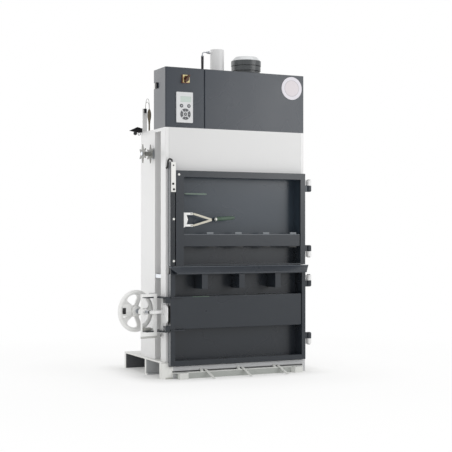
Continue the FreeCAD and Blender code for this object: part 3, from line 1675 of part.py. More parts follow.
for name, shape in pieces.items():
    save(name, shape)
    print(name, len(shape.Solids), shape.isValid(), round(shape.Volume / 1000.0, 1), "cm3")
print(len(pieces), "nodes")
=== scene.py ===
# %% [markdown]
# # A recycling baler in a white studio
# The machine is a welded steel press: two dark doors at the front, a white frame, a dark
# hood with the controls and a hydraulic cylinder on top. The CAD model already holds every
# main form, so it is loaded first and stays as it is. This file gives each part its finish
# and adds the small things that CAD leaves out, such as screws, weld beads and key marks. It
# also draws the hose and the leads as smooth curves, in place of their plainer CAD forms.

# %% Load the fixed model
import math

import bmesh
import bpy
from mathutils import Matrix, Vector


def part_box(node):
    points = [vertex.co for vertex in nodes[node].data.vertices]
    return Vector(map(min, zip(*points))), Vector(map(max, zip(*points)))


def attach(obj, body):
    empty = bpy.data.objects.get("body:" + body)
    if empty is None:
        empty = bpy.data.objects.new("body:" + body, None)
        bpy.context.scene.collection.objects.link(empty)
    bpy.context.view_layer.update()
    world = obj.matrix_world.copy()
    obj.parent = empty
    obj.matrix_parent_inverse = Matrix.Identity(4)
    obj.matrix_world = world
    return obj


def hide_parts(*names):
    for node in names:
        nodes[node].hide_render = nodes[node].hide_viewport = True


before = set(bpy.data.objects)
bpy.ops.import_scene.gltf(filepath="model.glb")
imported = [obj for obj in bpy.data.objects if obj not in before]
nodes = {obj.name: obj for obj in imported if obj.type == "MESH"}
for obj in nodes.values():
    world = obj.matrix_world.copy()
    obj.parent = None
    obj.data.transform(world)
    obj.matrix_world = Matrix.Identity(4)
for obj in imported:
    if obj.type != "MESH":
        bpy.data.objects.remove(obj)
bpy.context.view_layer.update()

# %% [markdown]
# ## Camera
# The picture was taken from the left, about 25 degrees off the front, a little below the
# middle of the machine and from some seven metres away. A long lens from far off keeps the
# uprights parallel. The small vertical shift takes the place of tilting the camera, which
# would make the uprights lean.

# %% Camera
SENSOR_MM = 36.0
LENS_MM = 85.3
SHIFT_UP = 0.0199
SIGHT_END_M = 200.0
CAMERA_PLACE = (-3.1677, -6.5316, 0.9464)
LOOK_ALONG = Vector((0.4274, 0.9041, 0.0))

camera_data = bpy.data.cameras.new("studio_camera")
camera_data.sensor_width = SENSOR_MM
camera_data.lens = LENS_MM
camera_data.shift_y = SHIFT_UP
camera_data.clip_end = SIGHT_END_M
camera = bpy.data.objects.new("studio_camera", camera_data)
camera.location = CAMERA_PLACE
camera.rotation_euler = LOOK_ALONG.to_track_quat("-Z", "Y").to_euler()
bpy.context.scene.collection.objects.link(camera)
bpy.context.scene.camera = camera
bpy.context.scene.view_settings.view_transform = "Standard"
print("camera at", tuple(camera.location))

# %% [markdown]
# ## Colour and node helpers
# Colours are written as the sRGB hex codes that a paint chart gives, and one function turns
# them into the linear numbers that a shader works with. A second small function adds a shader
# node together with its settings and its links, so each material below reads as a short list.
# A third lays other paints over a colour, each inside its own limits.

# %% Colour and node helpers
MM = 0.001


def linear(code):
    """An sRGB hex colour as the linear colour that a shader takes."""
    shares = [int(code[at:at + 2], 16) / 255.0 for at in (1, 3, 5)]
    return [share / 12.92 if share <= 0.04045 else ((share + 0.055) / 1.055) ** 2.4
            for share in shares] + [1.0]


def add(tree, kind, values=None, links=None, **settings):
    """A node with its settings, its socket values and the sockets that feed it."""
    node = tree.nodes.new(kind)
    for name, value in settings.items():
        setattr(node, name, value)
    for socket, value in (values or {}).items():
        node.inputs[socket].default_value = value
    for socket, source in (links or {}).items():
        tree.links.new(source, node.inputs[socket])
    return node


def start(name):
    """An empty material, its node tree and the place of a point on the object."""
    material = bpy.data.materials.new(name)
    material.use_nodes = True
    tree = material.node_tree
    tree.nodes.clear()
    return material, tree, add(tree, "ShaderNodeTexCoord").outputs["Object"]


def show(tree, shader):
    """Make a shader the surface of its material."""
    add(tree, "ShaderNodeOutputMaterial", links={"Surface": shader.outputs[0]})


def paint_patches(tree, place, colour, patches):
    """Lay other paints over a colour, each inside its own limits in metres along the axes."""
    split = add(tree, "ShaderNodeSeparateXYZ", links={0: place})
    for code, limits in patches:
        inside = None
        for name, limit in limits.items():
            axis, side = name.split("_")
            sense = "GREATER_THAN" if side == "over" else "LESS_THAN"
            test = add(tree, "ShaderNodeMath", operation=sense, values={1: limit},
                       links={0: split.outputs[axis.upper()]}).outputs[0]
            if inside is not None:
                test = add(tree, "ShaderNodeMath", operation="MULTIPLY",
                           links={0: inside, 1: test}).outputs[0]
            inside = test
        colour = add(tree, "ShaderNodeMix", {7: linear(code)}, {0: inside, 6: colour},
                     data_type="RGBA").outputs[2]
    return colour


print("white is", linear("#FFFFFF"), "and a mid grey is", linear("#808080"))

# %% [markdown]
# ## Floor and backdrop
# The machine stands on a white studio sweep. A plain plane is enough, because it runs past
# the edges of the picture and meets a white sky. Close to the base the camera sees mostly lit
# paint, which carries the soft contact shadow. With the distance from the base's outline the
# paint gives way to plain white light, so that the floor meets the sky without a line. Only
# the camera sees that light: for every other ray the floor is lit paint.

# %% Floor and backdrop
FLOOR_HALF_M = 30.0
SHADOW_END_M = 2.6
GLOW_STEPS = ((0.0, 0.15), (0.10, 0.70), (0.35, 0.86), (1.0, 1.0))
base_low, base_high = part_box("base_frame")
base_middle = (base_low + base_high) / 2.0
base_half = (base_high - base_low) / 2.0

floor_paint, tree, place = start("studio_sweep_matt_paint")
seen = add(tree, "ShaderNodeLightPath").outputs["Is Camera Ray"]
centred = add(tree, "ShaderNodeVectorMath", operation="SUBTRACT",
              values={1: (base_middle.x, base_middle.y, 0.0)}, links={0: place})
folded = add(tree, "ShaderNodeVectorMath", operation="ABSOLUTE", links={0: centred.outputs[0]})
past = add(tree, "ShaderNodeVectorMath", operation="SUBTRACT",
           values={1: (base_half.x, base_half.y, 0.0)}, links={0: folded.outputs[0]})
outside = add(tree, "ShaderNodeVectorMath", operation="MAXIMUM", links={0: past.outputs[0]})
reach = add(tree, "ShaderNodeVectorMath", operation="LENGTH", links={0: outside.outputs[0]})
part = add(tree, "ShaderNodeMath", operation="DIVIDE", values={1: SHADOW_END_M},
           links={0: reach.outputs["Value"]})
fade = add(tree, "ShaderNodeValToRGB", links={0: part.outputs[0]})
ramp = fade.color_ramp
ramp.interpolation = "EASE"
for index, (at, level) in enumerate(GLOW_STEPS):
    stop = ramp.elements[index] if index < 2 else ramp.elements.new(at)
    stop.position = at
    stop.color = (level, level, level, 1.0)
share = add(tree, "ShaderNodeMath", operation="MULTIPLY",
            links={0: seen, 1: fade.outputs["Color"]})
matt = add(tree, "ShaderNodeBsdfDiffuse", {"Color": linear("#F4F4F3")})
glow = add(tree, "ShaderNodeEmission", {"Color": linear("#FFFFFF"), "Strength": 1.0})
both = add(tree, "ShaderNodeMixShader", links={0: share.outputs[0], 1: matt.outputs[0],
                                               2: glow.outputs[0]})
show(tree, both)

sheet = bmesh.new()
bmesh.ops.create_grid(sheet, x_segments=1, y_segments=1, size=FLOOR_HALF_M)
floor_mesh = bpy.data.meshes.new("studio_floor")
sheet.to_mesh(floor_mesh)
sheet.free()
floor_mesh.materials.append(floor_paint)
floor = bpy.data.objects.new("studio_floor", floor_mesh)
bpy.context.scene.collection.objects.link(floor)
print("floor", FLOOR_HALF_M * 2, "m square")

# %% [markdown]
# ## Light
# The whole room is a soft light tent, so the sky itself does most of the lighting. One large
# soft box stands high at the front right. The dark fronts face that way from the camera, so
# they mirror it and grow lighter towards the right and the top, while the low door mirrors
# the floor and stays dark. A box on the ceiling lights the tops and the floor, and a weak one
# at the left lifts the white side. A bright wall behind and to the left is what the satin
# paint mirrors at a shallow angle: it makes the left sides of the dark parts lighter. The
# camera sees the sky pure white, but the light that the sky gives is a little weaker.

# %% Light
SKY_STRENGTH = 0.76

world = bpy.data.worlds.new("light_tent")
world.use_nodes = True
bpy.context.scene.world = world
tree = world.node_tree
tree.nodes.clear()
seen = add(tree, "ShaderNodeLightPath").outputs["Is Camera Ray"]
room = add(tree, "ShaderNodeBackground", {"Color": linear("#FFFFFF"), "Strength": SKY_STRENGTH})
white = add(tree, "ShaderNodeBackground", {"Color": linear("#FFFFFF"), "Strength": 1.0})
both = add(tree, "ShaderNodeMixShader", links={0: seen, 1: room.outputs[0], 2: white.outputs[0]})
add(tree, "ShaderNodeOutputWorld", links={"Surface": both.outputs[0]})


def panel(name, place, target, width, height, watts):
    """A rectangular soft box that faces a point of the machine."""
    lamp = bpy.data.lights.new(name, "AREA")
    lamp.shape = "RECTANGLE"
    lamp.size = width
    lamp.size_y = height
    lamp.energy = watts
    holder = bpy.data.objects.new(name, lamp)
    holder.location = place
    sight = Vector(target) - Vector(place)
    holder.rotation_euler = sight.to_track_quat("-Z", "Y").to_euler()
    holder.visible_camera = False
    bpy.context.scene.collection.objects.link(holder)
    return holder


panel("front_right_box", (3.8, -4.7, 2.38), (0.0, 0.2, 1.85), width=3.5, height=2.5, watts=88.0)
panel("left_fill", (-6.0, -1.0, 1.3), (-0.5, 0.3, 0.9), width=4.0, height=3.2, watts=36.0)
panel("ceiling_box", (0.6, 0.4, 6.0), (0.0, 0.3, 1.0), width=4.0, height=4.0, watts=80.0)
mirror_wall = panel("rear_left_wall", (-3.6, 5.6, 1.8), (-0.5, 0.2, 1.2), width=3.6, height=4.0,
                    watts=62.0)
mirror_wall.visible_diffuse = False
print("sky, three soft boxes and a mirrored wall")

# %% [markdown]
# ## Painted steel
# Nearly all of the machine is sheet steel with a baked powder coat. The powder melts and
# flows into a faint orange peel, and its thickness varies a little over a large sheet. One
# function builds this family, because the coats differ only in colour, gloss and patches. The
# real peel is one or two millimetres across, so fine that it shows only in a close view. The
# way from two noises to a finished surface is the same for metal and plastic, so it comes first.

# %% Painted steel
PEEL_MM = 1.6
PEEL_DEEP_MM = 0.06
CLOUD_MM = 420.0


def surface(tree, place, drift, relief, paints, gloss_range, bump, settings, patches):
    """Let colour and gloss follow one noise and the bump another, and close the material."""
    pale, deep = paints
    smooth, rough = gloss_range
    strength, deep_mm = bump
    colour = add(tree, "ShaderNodeMix", {6: linear(deep), 7: linear(pale)}, {0: drift},
                 data_type="RGBA")
    gloss = add(tree, "ShaderNodeMapRange",
                {"From Min": 0.3, "From Max": 0.7, "To Min": smooth, "To Max": rough},
                {"Value": drift})
    bumps = add(tree, "ShaderNodeBump", {"Strength": strength, "Distance": deep_mm * MM},
                {"Height": relief})
    paint = paint_patches(tree, place, colour.outputs[2], patches)
    shader = add(tree, "ShaderNodeBsdfPrincipled", settings,
                 {"Base Color": paint, "Roughness": gloss.outputs[0], "Normal": bumps.outputs[0]})
    show(tree, shader)


def powder_coat(name, pale, deep, roughness, peel=0.25, patches=()):
    """Baked powder paint: a slow drift of colour and gloss, and a faint orange peel."""
    material, tree, place = start(name)
    cloud = add(tree, "ShaderNodeTexNoise", {"Scale": 1.0 / (CLOUD_MM * MM), "Detail": 3.0},
                {"Vector": place}).outputs["Fac"]
    grain = add(tree, "ShaderNodeTexNoise", {"Scale": 1.0 / (PEEL_MM * MM), "Detail": 2.0},
                {"Vector": place}).outputs["Fac"]
    surface(tree, place, cloud, grain, (pale, deep), (roughness - 0.03, roughness + 0.04),
            (peel, PEEL_DEEP_MM), {"IOR": 1.5}, patches)
    return material


print("orange peel", PEEL_MM, "mm across, clouds", CLOUD_MM, "mm")

# %% [markdown]
# ## Patches of painted light and shade
# Some patches paint into a coat how the light falls on it. Painted highlights run along the
# top edges of the lip and the upper beam, the lip's sloping face has painted light, and the left
# sides of the low door and the closing strip carry a painted sheen. Painted shade lies in the
# fork pockets, on the sill and in its groove, on the step's face, at the feet of the front
# block, the step and the lock's frame, with a painted shadow in the lock's gap. The upper
# door's pan has painted light, and the motor lid is paler above its shoulder. Each patch is a
# colour and a box of limits along the axes, in metres. The limits come from a part's own box
# where that gives them. Those of the pockets stop short of the base's outer faces, which stay
# white.

# %% Patches of painted light and shade
SKIN_MM = 0.5
REAR_FACE_MM = 2.0
RUNNER_BACK_Y = 0.029
REAR_POCKET_Y = 0.400
DECK_UNDER_Z = 0.1035
# Painted shade: the fork pockets' inner faces are grey, and darker in the rear pocket.
pocket_limits = {"x_over": base_low.x + SKIN_MM * MM, "y_over": RUNNER_BACK_Y,
                 "y_under": base_high.y - REAR_FACE_MM * MM, "z_under": DECK_UNDER_Z}
pocket = ("#BDBFC1", pocket_limits)
rear_pocket = ("#55575A", {**pocket_limits, "y_over": REAR_POCKET_Y})

BLOCK_WIDTH_M = 0.078
BLOCK_FACE_Y = -0.0185
BLOCK_FOOT_Z = 0.011
SILL_BACK_Y = -0.010
GROOVE_BACK_Y = -0.003
GROOVE_LOW_Z = 0.0425
GROOVE_HIGH_Z = 0.0515
block_edge_x = base_low.x + BLOCK_WIDTH_M
# Painted shade at the foot of the front block, near the floor.
block_foot_shade = ("#B9B9B3", {"x_under": block_edge_x, "y_under": BLOCK_FACE_Y,
                          "z_under": BLOCK_FOOT_Z})
# Painted shade on the sill under the low door.
sill_shade = ("#BFC0C2", {"x_over": block_edge_x, "y_under": SILL_BACK_Y})
# Painted shade inside the groove between the sill and the step.
groove_shade = ("#6A6A69", {"x_over": block_edge_x, "y_over": BLOCK_FACE_Y, "y_under": GROOVE_BACK_Y,
                      "z_over": GROOVE_LOW_Z, "z_under": GROOVE_HIGH_Z})

step_low, step_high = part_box("threshold_step")
STEP_SIDE_MM = 2.0
STEP_RIM_MM = 24.0
STEP_FACE_Y = -0.0475
STEP_FOOT_Z = 0.016
step_side_x = step_low.x + STEP_SIDE_MM * MM
# Painted shade on the step's front face, and at the foot of its left end.
step_face_shade = ("#A7AAA6", {"x_over": step_side_x, "y_over": STEP_FACE_Y,
                         "z_under": step_high.z - STEP_RIM_MM * MM})
step_side_foot_shade = ("#A7AAA6", {"x_under": step_side_x, "z_under": STEP_FOOT_Z})

STRIP_SIDE_MM = 48.5
LOCK_GAP_LOW_Z = 0.362
LOCK_GAP_HIGH_Z = 0.482
strip_limits = {"x_under": base_low.x + STRIP_SIDE_MM * MM}
# Painted sheen: the left sides of the low door and the strip are lighter, as satin paint mirrors
# a bright wall.
strip_side_sheen = ("#737579", strip_limits)
# Painted shadow: near black on the low door's side between the lock's plates.
lock_gap_shadow = ("#0E0F11", {**strip_limits, "z_over": LOCK_GAP_LOW_Z, "z_under": LOCK_GAP_HIGH_Z})

EDGE_MM = 5.0
LIP_FRONT_Y = -0.04
LIP_SLOPE_Y = -0.056
LIP_FOOT_Z = 0.690
lip_top_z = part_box("lower_door")[1].z
# Painted light on the lip's sloping face, which faces upwards.
lip_face_light = ("#31363D", {"z_over": LIP_FOOT_Z, "y_under": LIP_SLOPE_Y})
# Painted highlight along the lip's top edge.
lip_edge_highlight = ("#5C6167", {"z_over": lip_top_z - EDGE_MM * MM, "y_under": LIP_FRONT_Y})

PAN_FACE_Y = -0.030
PAN_GAP_MM = 3.0
beam_top_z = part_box("upper_beam")[1].z
# Painted highlight along the upper beam's top edge.
beam_edge_highlight = ("#5C6167", {"z_over": beam_top_z - EDGE_MM * MM})
upper_pan = ("#2E3842", {"y_over": PAN_FACE_Y, "z_over": beam_top_z + PAN_GAP_MM * MM})

YOKE_SHADE_MM = 14.0
LID_SHOULDER_MM = 35.5
# Painted shade on the foot of the lock's frame.
yoke_foot_shade = ("#B4B4B1", {"z_under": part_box("lock_yoke")[0].z + YOKE_SHADE_MM * MM})
lid_top = ("#C6C8C9", {"z_over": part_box("motor_lid")[0].z + LID_SHOULDER_MM * MM})
print("front block ends at x", round(block_edge_x, 4))

# %% [markdown]
# ## The machine's coats
# The covers and doors are anthracite, the frame is white, and the wheel and the motor have
# enamel. A coat that carries patches lays them on in the order of its list, so a later patch
# covers an earlier one.

# %% The machine's coats
DOOR_PAINTS = ("#262C33", "#22272E")
GLOSS_PAINTS = ("#F2F2F1", "#EAEAE9")
SATIN = 0.28
SMOOTH = 0.1

hood_coat = powder_coat("anthracite_satin_powder_coat_hood", "#2B333D", "#272E37", 0.27, SMOOTH)
door_coat = powder_coat("anthracite_satin_powder_coat_doors", *DOOR_PAINTS, SATIN, SMOOTH)
pan_coat = powder_coat("anthracite_coat_with_lit_pan", *DOOR_PAINTS, SATIN, SMOOTH, [upper_pan])
# The low door's coat carries a painted sheen on its left side, a painted shadow in the lock's
# gap, painted light on the lip's face and a painted highlight on its top edge.
side_coat = powder_coat("anthracite_coat_with_painted_light_and_shade", *DOOR_PAINTS, SATIN, SMOOTH,
                        [strip_side_sheen, lock_gap_shadow, lip_face_light, lip_edge_highlight])
# The strip's coat carries the same painted sheen on its left side.
strip_coat = powder_coat("anthracite_coat_on_closing_strip", "#1F242A", "#1B2026", SATIN, SMOOTH,
                         [strip_side_sheen])
# The upper beam's coat carries a painted highlight along its top edge.
beam_coat = powder_coat("anthracite_coat_with_painted_edge_highlight", *DOOR_PAINTS, SATIN, SMOOTH,
                        [beam_edge_highlight])
# The strap clips are painted lighter as a painted highlight for the light they catch.
clip_coat = powder_coat("anthracite_coat_with_painted_light_on_clips", "#7E8388", "#666B70", 0.32, SMOOTH)
frame_coat = powder_coat("light_white_powder_coat", "#E8E8E8", "#E2E2E2", 0.38)
base_coat = powder_coat("light_white_coat_with_painted_shade", "#EAEAE7", "#E2E2DF", 0.42,
                        patches=[pocket, rear_pocket, sill_shade, groove_shade, block_foot_shade])
step_coat = powder_coat("scuffed_white_step_coat_with_painted_shade", "#DCDDDA", "#CFD0CC", 0.45,
                        patches=[step_face_shade, step_side_foot_shade])
# The front panel has the frame's white paint, painted darker as painted shade under the hood's
# overhang.
panel_coat = powder_coat("light_white_powder_coat_front_in_painted_shade", "#DCDCDC", "#D5D5D5", 0.38)
gloss_coat = powder_coat("pure_white_gloss_coat", *GLOSS_PAINTS, 0.25)
yoke_coat = powder_coat("pure_white_gloss_coat_with_painted_shade_on_foot", *GLOSS_PAINTS, 0.25,
                        patches=[yoke_foot_shade])
wheel_coat = powder_coat("cast_iron_pale_grey_enamel", "#F3F3F2", "#EAEAE8", 0.42, peel=0.7)
motor_coat = powder_coat("motor_dark_grey_enamel", "#55585A", "#4A4D4F", 0.30, peel=0.5,
                         patches=[lid_top])
print("fifteen powder coats")

# %% [markdown]
# ## Bare and plated metal
# Bolts, the spindle and the pipe are zinc plated: bright, slightly bluish and never quite
# even. The press rod is ground and hard chromed. Hinge pins are blackened steel, and the
# chamber floor is rolled plate that sliding bales have polished along their path.

# %% Bare and plated metal
SCRATCH_MM = 0.04


def plated(name, pale, deep, roughness, grain_mm, stretch=(1.0, 1.0, 1.0), patches=()):
    """Metal with a grain that can be drawn out along the way it was rolled or turned."""
    material, tree, place = start(name)
    drawn = add(tree, "ShaderNodeMapping", {"Scale": stretch}, {"Vector": place})
    grain = add(tree, "ShaderNodeTexNoise", {"Scale": 1.0 / (grain_mm * MM), "Detail": 4.0},
                {"Vector": drawn.outputs[0]}).outputs["Fac"]
    surface(tree, place, grain, grain, (pale, deep), (roughness - 0.06, roughness + 0.08),
            (0.2, SCRATCH_MM), {"Metallic": 1.0}, patches)
    return material


zinc = plated("zinc_plated_steel", "#C9CCD0", "#AEB2B7", 0.32, 3.0)
blackened = plated("blackened_steel", "#4A4A4C", "#333335", 0.42, 4.0)
chrome = plated("hard_chrome_ground_rod", "#DADCDE", "#C6C9CC", 0.14, 1.5, (1.0, 1.0, 8.0))
rolled = plated("rolled_steel_plate_worn", "#A9A8A4", "#7E7C78", 0.36, 26.0, (1.0, 0.15, 1.0))

NUT_FOOT_MM = 44.0
nut = ("#3C3C3E", {"z_under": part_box("oil_pipe")[0].z + NUT_FOOT_MM * MM})
pipe_zinc = plated("zinc_plated_pipe_with_black_nut", "#B4B7BB", "#9A9DA2", 0.34, 3.0,
                   patches=[nut])
grip_low, grip_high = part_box("latch_grip")
NECK_MM = 34.0
RING_MM = 15.0
neck = ("#2C2D2C", {"x_over": grip_low.x - NECK_MM * MM})
neck_ring = ("#D8D8D4", {"x_over": grip_low.x - RING_MM * MM})
latch_zinc = plated("yellow_passivated_zinc_latch", "#C6C3B9", "#B2AEA0", 0.5, 6.0,
                    patches=[neck, neck_ring])
print("six metals")

# %% [markdown]
# ## Plastics, rubber and cloth sleeve
# The switch housing, the reel and the caps are moulded nylon or ABS, the grips are thick
# green PVC, and the hose is black nitrile rubber. Moulded plastic has a fine spark-eroded
# texture and a little unevenness in its gloss. These share one function too, with the size of
# the texture as its main choice.

# %% Plastics, rubber and cloth sleeve
GLOSS_CLOUD_MM = 35.0


def moulded(name, pale, deep, roughness, texture_mm, texture_deep_mm=0.05, patches=()):
    """Moulded plastic or rubber: fine mould texture and slightly uneven gloss."""
    material, tree, place = start(name)
    cloud = add(tree, "ShaderNodeTexNoise", {"Scale": 1.0 / (GLOSS_CLOUD_MM * MM), "Detail": 2.0},
                {"Vector": place}).outputs["Fac"]
    pits = add(tree, "ShaderNodeTexVoronoi", {"Scale": 1.0 / (texture_mm * MM)},
               {"Vector": place}).outputs["Distance"]
    surface(tree, place, cloud, pits, (pale, deep), (roughness - 0.04, roughness + 0.05),
            (0.25, texture_deep_mm), {"IOR": 1.48}, patches)
    return material


white_nylon = moulded("white_nylon_moulded", "#EFEFEC", "#E6E6E2", 0.36, 0.9)
reel_plastic = moulded("mid_grey_abs_moulded", "#8E8E8A", "#82827E", 0.45, 1.2)
black_plastic = moulded("black_glass_filled_nylon", "#1E1F21", "#161718", 0.42, 0.8)
green_pvc = moulded("green_pvc_dipped_grip", "#4C6152", "#415346", 0.42, 1.6, 0.12)
rubber = moulded("black_nitrile_rubber", "#202021", "#19191A", 0.55, 0.7)

ROD_ROOT_MM = 16.0
rod_root = ("#17181A", {"x_under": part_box("grab_rod")[0].x + ROD_ROOT_MM * MM})
rod_pvc = moulded("faded_green_pvc_on_rod", "#7A8A7F", "#6C7C71", 0.45, 1.6, 0.12,
                  patches=[rod_root])
LEAD_FOOT_Z = 1.822
pale_leads = ("#C4C4C0", {"z_over": LEAD_FOOT_Z})
sleeve = moulded("olive_woven_sleeve_and_pale_leads", "#7C7362", "#645C4D", 0.75, 1.8, 0.4,
                 patches=[pale_leads])

switch_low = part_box("switch_plate")[0]
RED_SIDE_MM = 8.0
RED_FOOT_MM = 5.0
KNOB_FOOT_M = 0.016
red_side = ("#5A2A1A", {"x_under": switch_low.x + RED_SIDE_MM * MM})
red_foot = ("#6A3420", {"z_under": switch_low.z + RED_FOOT_MM * MM})
yellow_plastic = moulded("pale_yellow_plate_on_red_base", "#E6DBA8", "#DCCF98", 0.38, 0.8,
                         patches=[red_side, red_foot])
knob_foot = ("#D9CB93", {"y_over": -KNOB_FOOT_M})
red_plastic = moulded("brown_red_switch_knob", "#4E2A12", "#43220E", 0.34, 0.9,
                      patches=[knob_foot])
socket_low, socket_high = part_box("side_socket")
white_half = ("#F0F0EE", {"y_over": (socket_low.y + socket_high.y) / 2})
socket_plastic = moulded("black_and_white_side_socket", "#1B1C1E", "#151617", 0.42, 0.8,
                         patches=[white_half])

keypad_film = moulded("matt_polyester_keypad_film", "#D9DADB", "#D2D3D5", 0.50, 0.6)
key_film = moulded("dark_grey_key_film", "#57595C", "#4A4C4F", 0.45, 0.6)
mark_film = moulded("pale_grey_key_mark", "#B4B6B8", "#A8AAAC", 0.50, 0.6)
print("thirteen plastics")

# %% [markdown]
# ## Display
# The display is a reflective liquid crystal window: a pale green-grey film under clear
# acrylic. A brick pattern with very thin joints stands in for its rows of dots. The real dots
# are half a millimetre, and here they are drawn at a millimetre and a half so that they show.

# %% Display
DOT_MM = 1.5

display_glass, tree, place = start("liquid_crystal_window")
upright = add(tree, "ShaderNodeMapping", {"Rotation": (math.radians(90.0), 0.0, 0.0)},
              {"Vector": place})
dots = add(tree, "ShaderNodeTexBrick",
           {"Color1": linear("#C3CFC8"), "Color2": linear("#BFCCC5"),
            "Mortar": linear("#CAD4CE"), "Scale": 1.0 / (DOT_MM * MM), "Mortar Size": 0.06,
            "Brick Width": 1.0, "Row Height": 1.0},
           {"Vector": upright.outputs[0]}, offset=0.0)
shader = add(tree, "ShaderNodeBsdfPrincipled",
             {"Roughness": 0.12, "IOR": 1.49, "Coat Weight": 0.6, "Coat Roughness": 0.05},
             {"Base Color": dots.outputs["Color"]})
show(tree, shader)
print("display dots of", DOT_MM, "mm")

# %% [markdown]
# ## Four-way key
# The ring key is one moulding: a pale ring with four dark arcs printed on its raised faces.
# The raised faces stand nearer to the user, so the place along Y tells print from base.

# %% Four-way key
ring_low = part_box("key_ring")[0]
ARC_FACE_MM = 1.0
SPECK_MM = 6.0

ring_film, tree, place = start("two_colour_ring_key_film")
depth = add(tree, "ShaderNodeSeparateXYZ", links={0: place})
raised = add(tree, "ShaderNodeMath", operation="LESS_THAN",
             values={1: ring_low.y + ARC_FACE_MM * MM}, links={0: depth.outputs["Y"]})
speck = add(tree, "ShaderNodeTexNoise", {"Scale": 1.0 / (SPECK_MM * MM)}, {"Vector": place})
dark = add(tree, "ShaderNodeMix", {6: linear("#4A4C4F"), 7: linear("#595B5E")},
           {0: speck.outputs["Fac"]}, data_type="RGBA")
colour = add(tree, "ShaderNodeMix", {6: linear("#D2D3D5")},
             {0: raised.outputs[0], 7: dark.outputs[2]}, data_type="RGBA")
shader = add(tree, "ShaderNodeBsdfPrincipled", {"Roughness": 0.45},
             {"Base Color": colour.outputs[2]})
show(tree, shader)
print("arc faces in front of y", round(ring_low.y + ARC_FACE_MM * MM, 4))

# %% [markdown]
# ## Round plate
# The round plate at the hood's top right is a plain enamelled disc: pale grey, with one thin
# darker line inside its border. Its bands are drawn by the distance from its centre.

# %% Round plate
plate_low, plate_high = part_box("round_plate")
plate_centre = (plate_low + plate_high) / 2.0
plate_radius = (plate_high.x - plate_low.x) / 2.0
LINE_FROM = 0.66
LINE_TO = 0.72

round_enamel, tree, place = start("pale_enamel_disc_with_thin_line")
centred = add(tree, "ShaderNodeMapping",
              {"Location": (-plate_centre.x, -plate_centre.y, -plate_centre.z)},
              {"Vector": place})
flat = add(tree, "ShaderNodeVectorMath", operation="MULTIPLY", values={1: (1.0, 0.0, 1.0)},
           links={0: centred.outputs[0]})
reach = add(tree, "ShaderNodeVectorMath", operation="LENGTH", links={0: flat.outputs[0]})
share = add(tree, "ShaderNodeMath", operation="DIVIDE", values={1: plate_radius},
            links={0: reach.outputs["Value"]})
bands = add(tree, "ShaderNodeValToRGB", links={0: share.outputs[0]})
ramp = bands.color_ramp
ramp.interpolation = "CONSTANT"
ramp.elements[0].color = linear("#D1CACE")
ramp.elements[1].position = LINE_FROM
ramp.elements[1].color = linear("#B9B4B8")
ramp.elements.new(LINE_TO).color = linear("#D6D3DA")
shader = add(tree, "ShaderNodeBsdfPrincipled", {"Roughness": 0.3},
             {"Base Color": bands.outputs["Color"]})
show(tree, shader)
print("plate radius", round(plate_radius, 4))

# %% [markdown]
# ## Dress the CAD parts
# Each CAD part keeps its mesh and only gets its finish. One list for each finish shows at a
# glance which parts came out of the same spray booth or the same mould. Copies of one paint
# with painted light or shade get lists of their own.

# %% Dress the CAD parts
finishes = {
    hood_coat: ["cover_left", "cover_right"],
    beam_coat: ["upper_beam"],
    clip_coat: ["strap_clips"],
    pan_coat: ["upper_door"],
    door_coat: ["lower_beam", "strap_boxes", "lock_cleats", "lock_claw"],
    side_coat: ["lower_door"],
    strip_coat: ["latch_strip"],
    base_coat: ["base_frame"],
    step_coat: ["threshold_step"],
    frame_coat: ["front_posts", "rear_columns", "chamber_walls", "chamber_back", "back_beams",
                 "crosshead", "hinge_brackets", "lock_ears", "lock_anchor", "oil_tank", "platen",
                 "cylinder_barrel"],
    panel_coat: ["front_panel"],
    gloss_coat: ["latch_bracket", "switch_stay"],
    yoke_coat: ["lock_yoke"],
    wheel_coat: ["handwheel"],
    motor_coat: ["motor", "motor_lid"],
    zinc: ["reel_shaft", "side_bracket", "spindle"],
    pipe_zinc: ["oil_pipe"],
    latch_zinc: ["latch_handle"],
    # The clamp pad is blackened steel, and its dark also stands in as painted shade under the
    # spindle.
    blackened: ["hinge_pins", "clamp_pad", "strap_hook"],
    chrome: ["piston_rod"],
    rolled: ["chamber_floor"],
    white_nylon: ["door_switch"],
    reel_plastic: ["strap_reel"],
    black_plastic: ["limit_switch"],
    socket_plastic: ["side_socket"],
    green_pvc: ["latch_grip"],
    rod_pvc: ["grab_rod"],
    rubber: ["switch_cable", "oil_hose"],
    sleeve: ["sensor_leads"],
    yellow_plastic: ["switch_plate"],
    red_plastic: ["main_switch"],
    keypad_film: ["keypad_case"],
    key_film: ["key_left", "key_right", "key_centre"],
    display_glass: ["display"],
    ring_film: ["key_ring"],
    round_enamel: ["round_plate"],
}
for material, names in finishes.items():
    for name in names:
        nodes[name].data.materials.clear()
        nodes[name].data.materials.append(material)
dressed = sorted(name for names in finishes.values() for name in names)
print(len(dressed), "parts dressed; left:", sorted(set(nodes) - set(dressed)))

# %% [markdown]
# ## Rounded sheet edges
# Bent sheet has a small outer radius at each fold, and that radius is what draws a thin light
# line along the top of the doors' dark beams and boxes. A Bevel modifier gives it, after a
# Weld modifier has joined the loose triangles of the CAD mesh. Only edges that turn by more
# than forty degrees are rounded.

# %% Rounded sheet edges
FOLD_MM = 3.0
FOLD_TURN = math.radians(40.0)
FOLD_SEGMENTS = 2
TOUCH = 0.00001


def round_edges(name, radius_mm):
    """Weld a CAD part's triangles and round its sharp edges, as modifiers."""
    weld = nodes[name].modifiers.new("join_triangles", "WELD")
    weld.merge_threshold = TOUCH
    fold = nodes[name].modifiers.new("fold_radius", "BEVEL")
    fold.limit_method = "ANGLE"
    fold.angle_limit = FOLD_TURN
    fold.width = radius_mm * MM
    fold.segments = FOLD_SEGMENTS
    fold.harden_normals = True


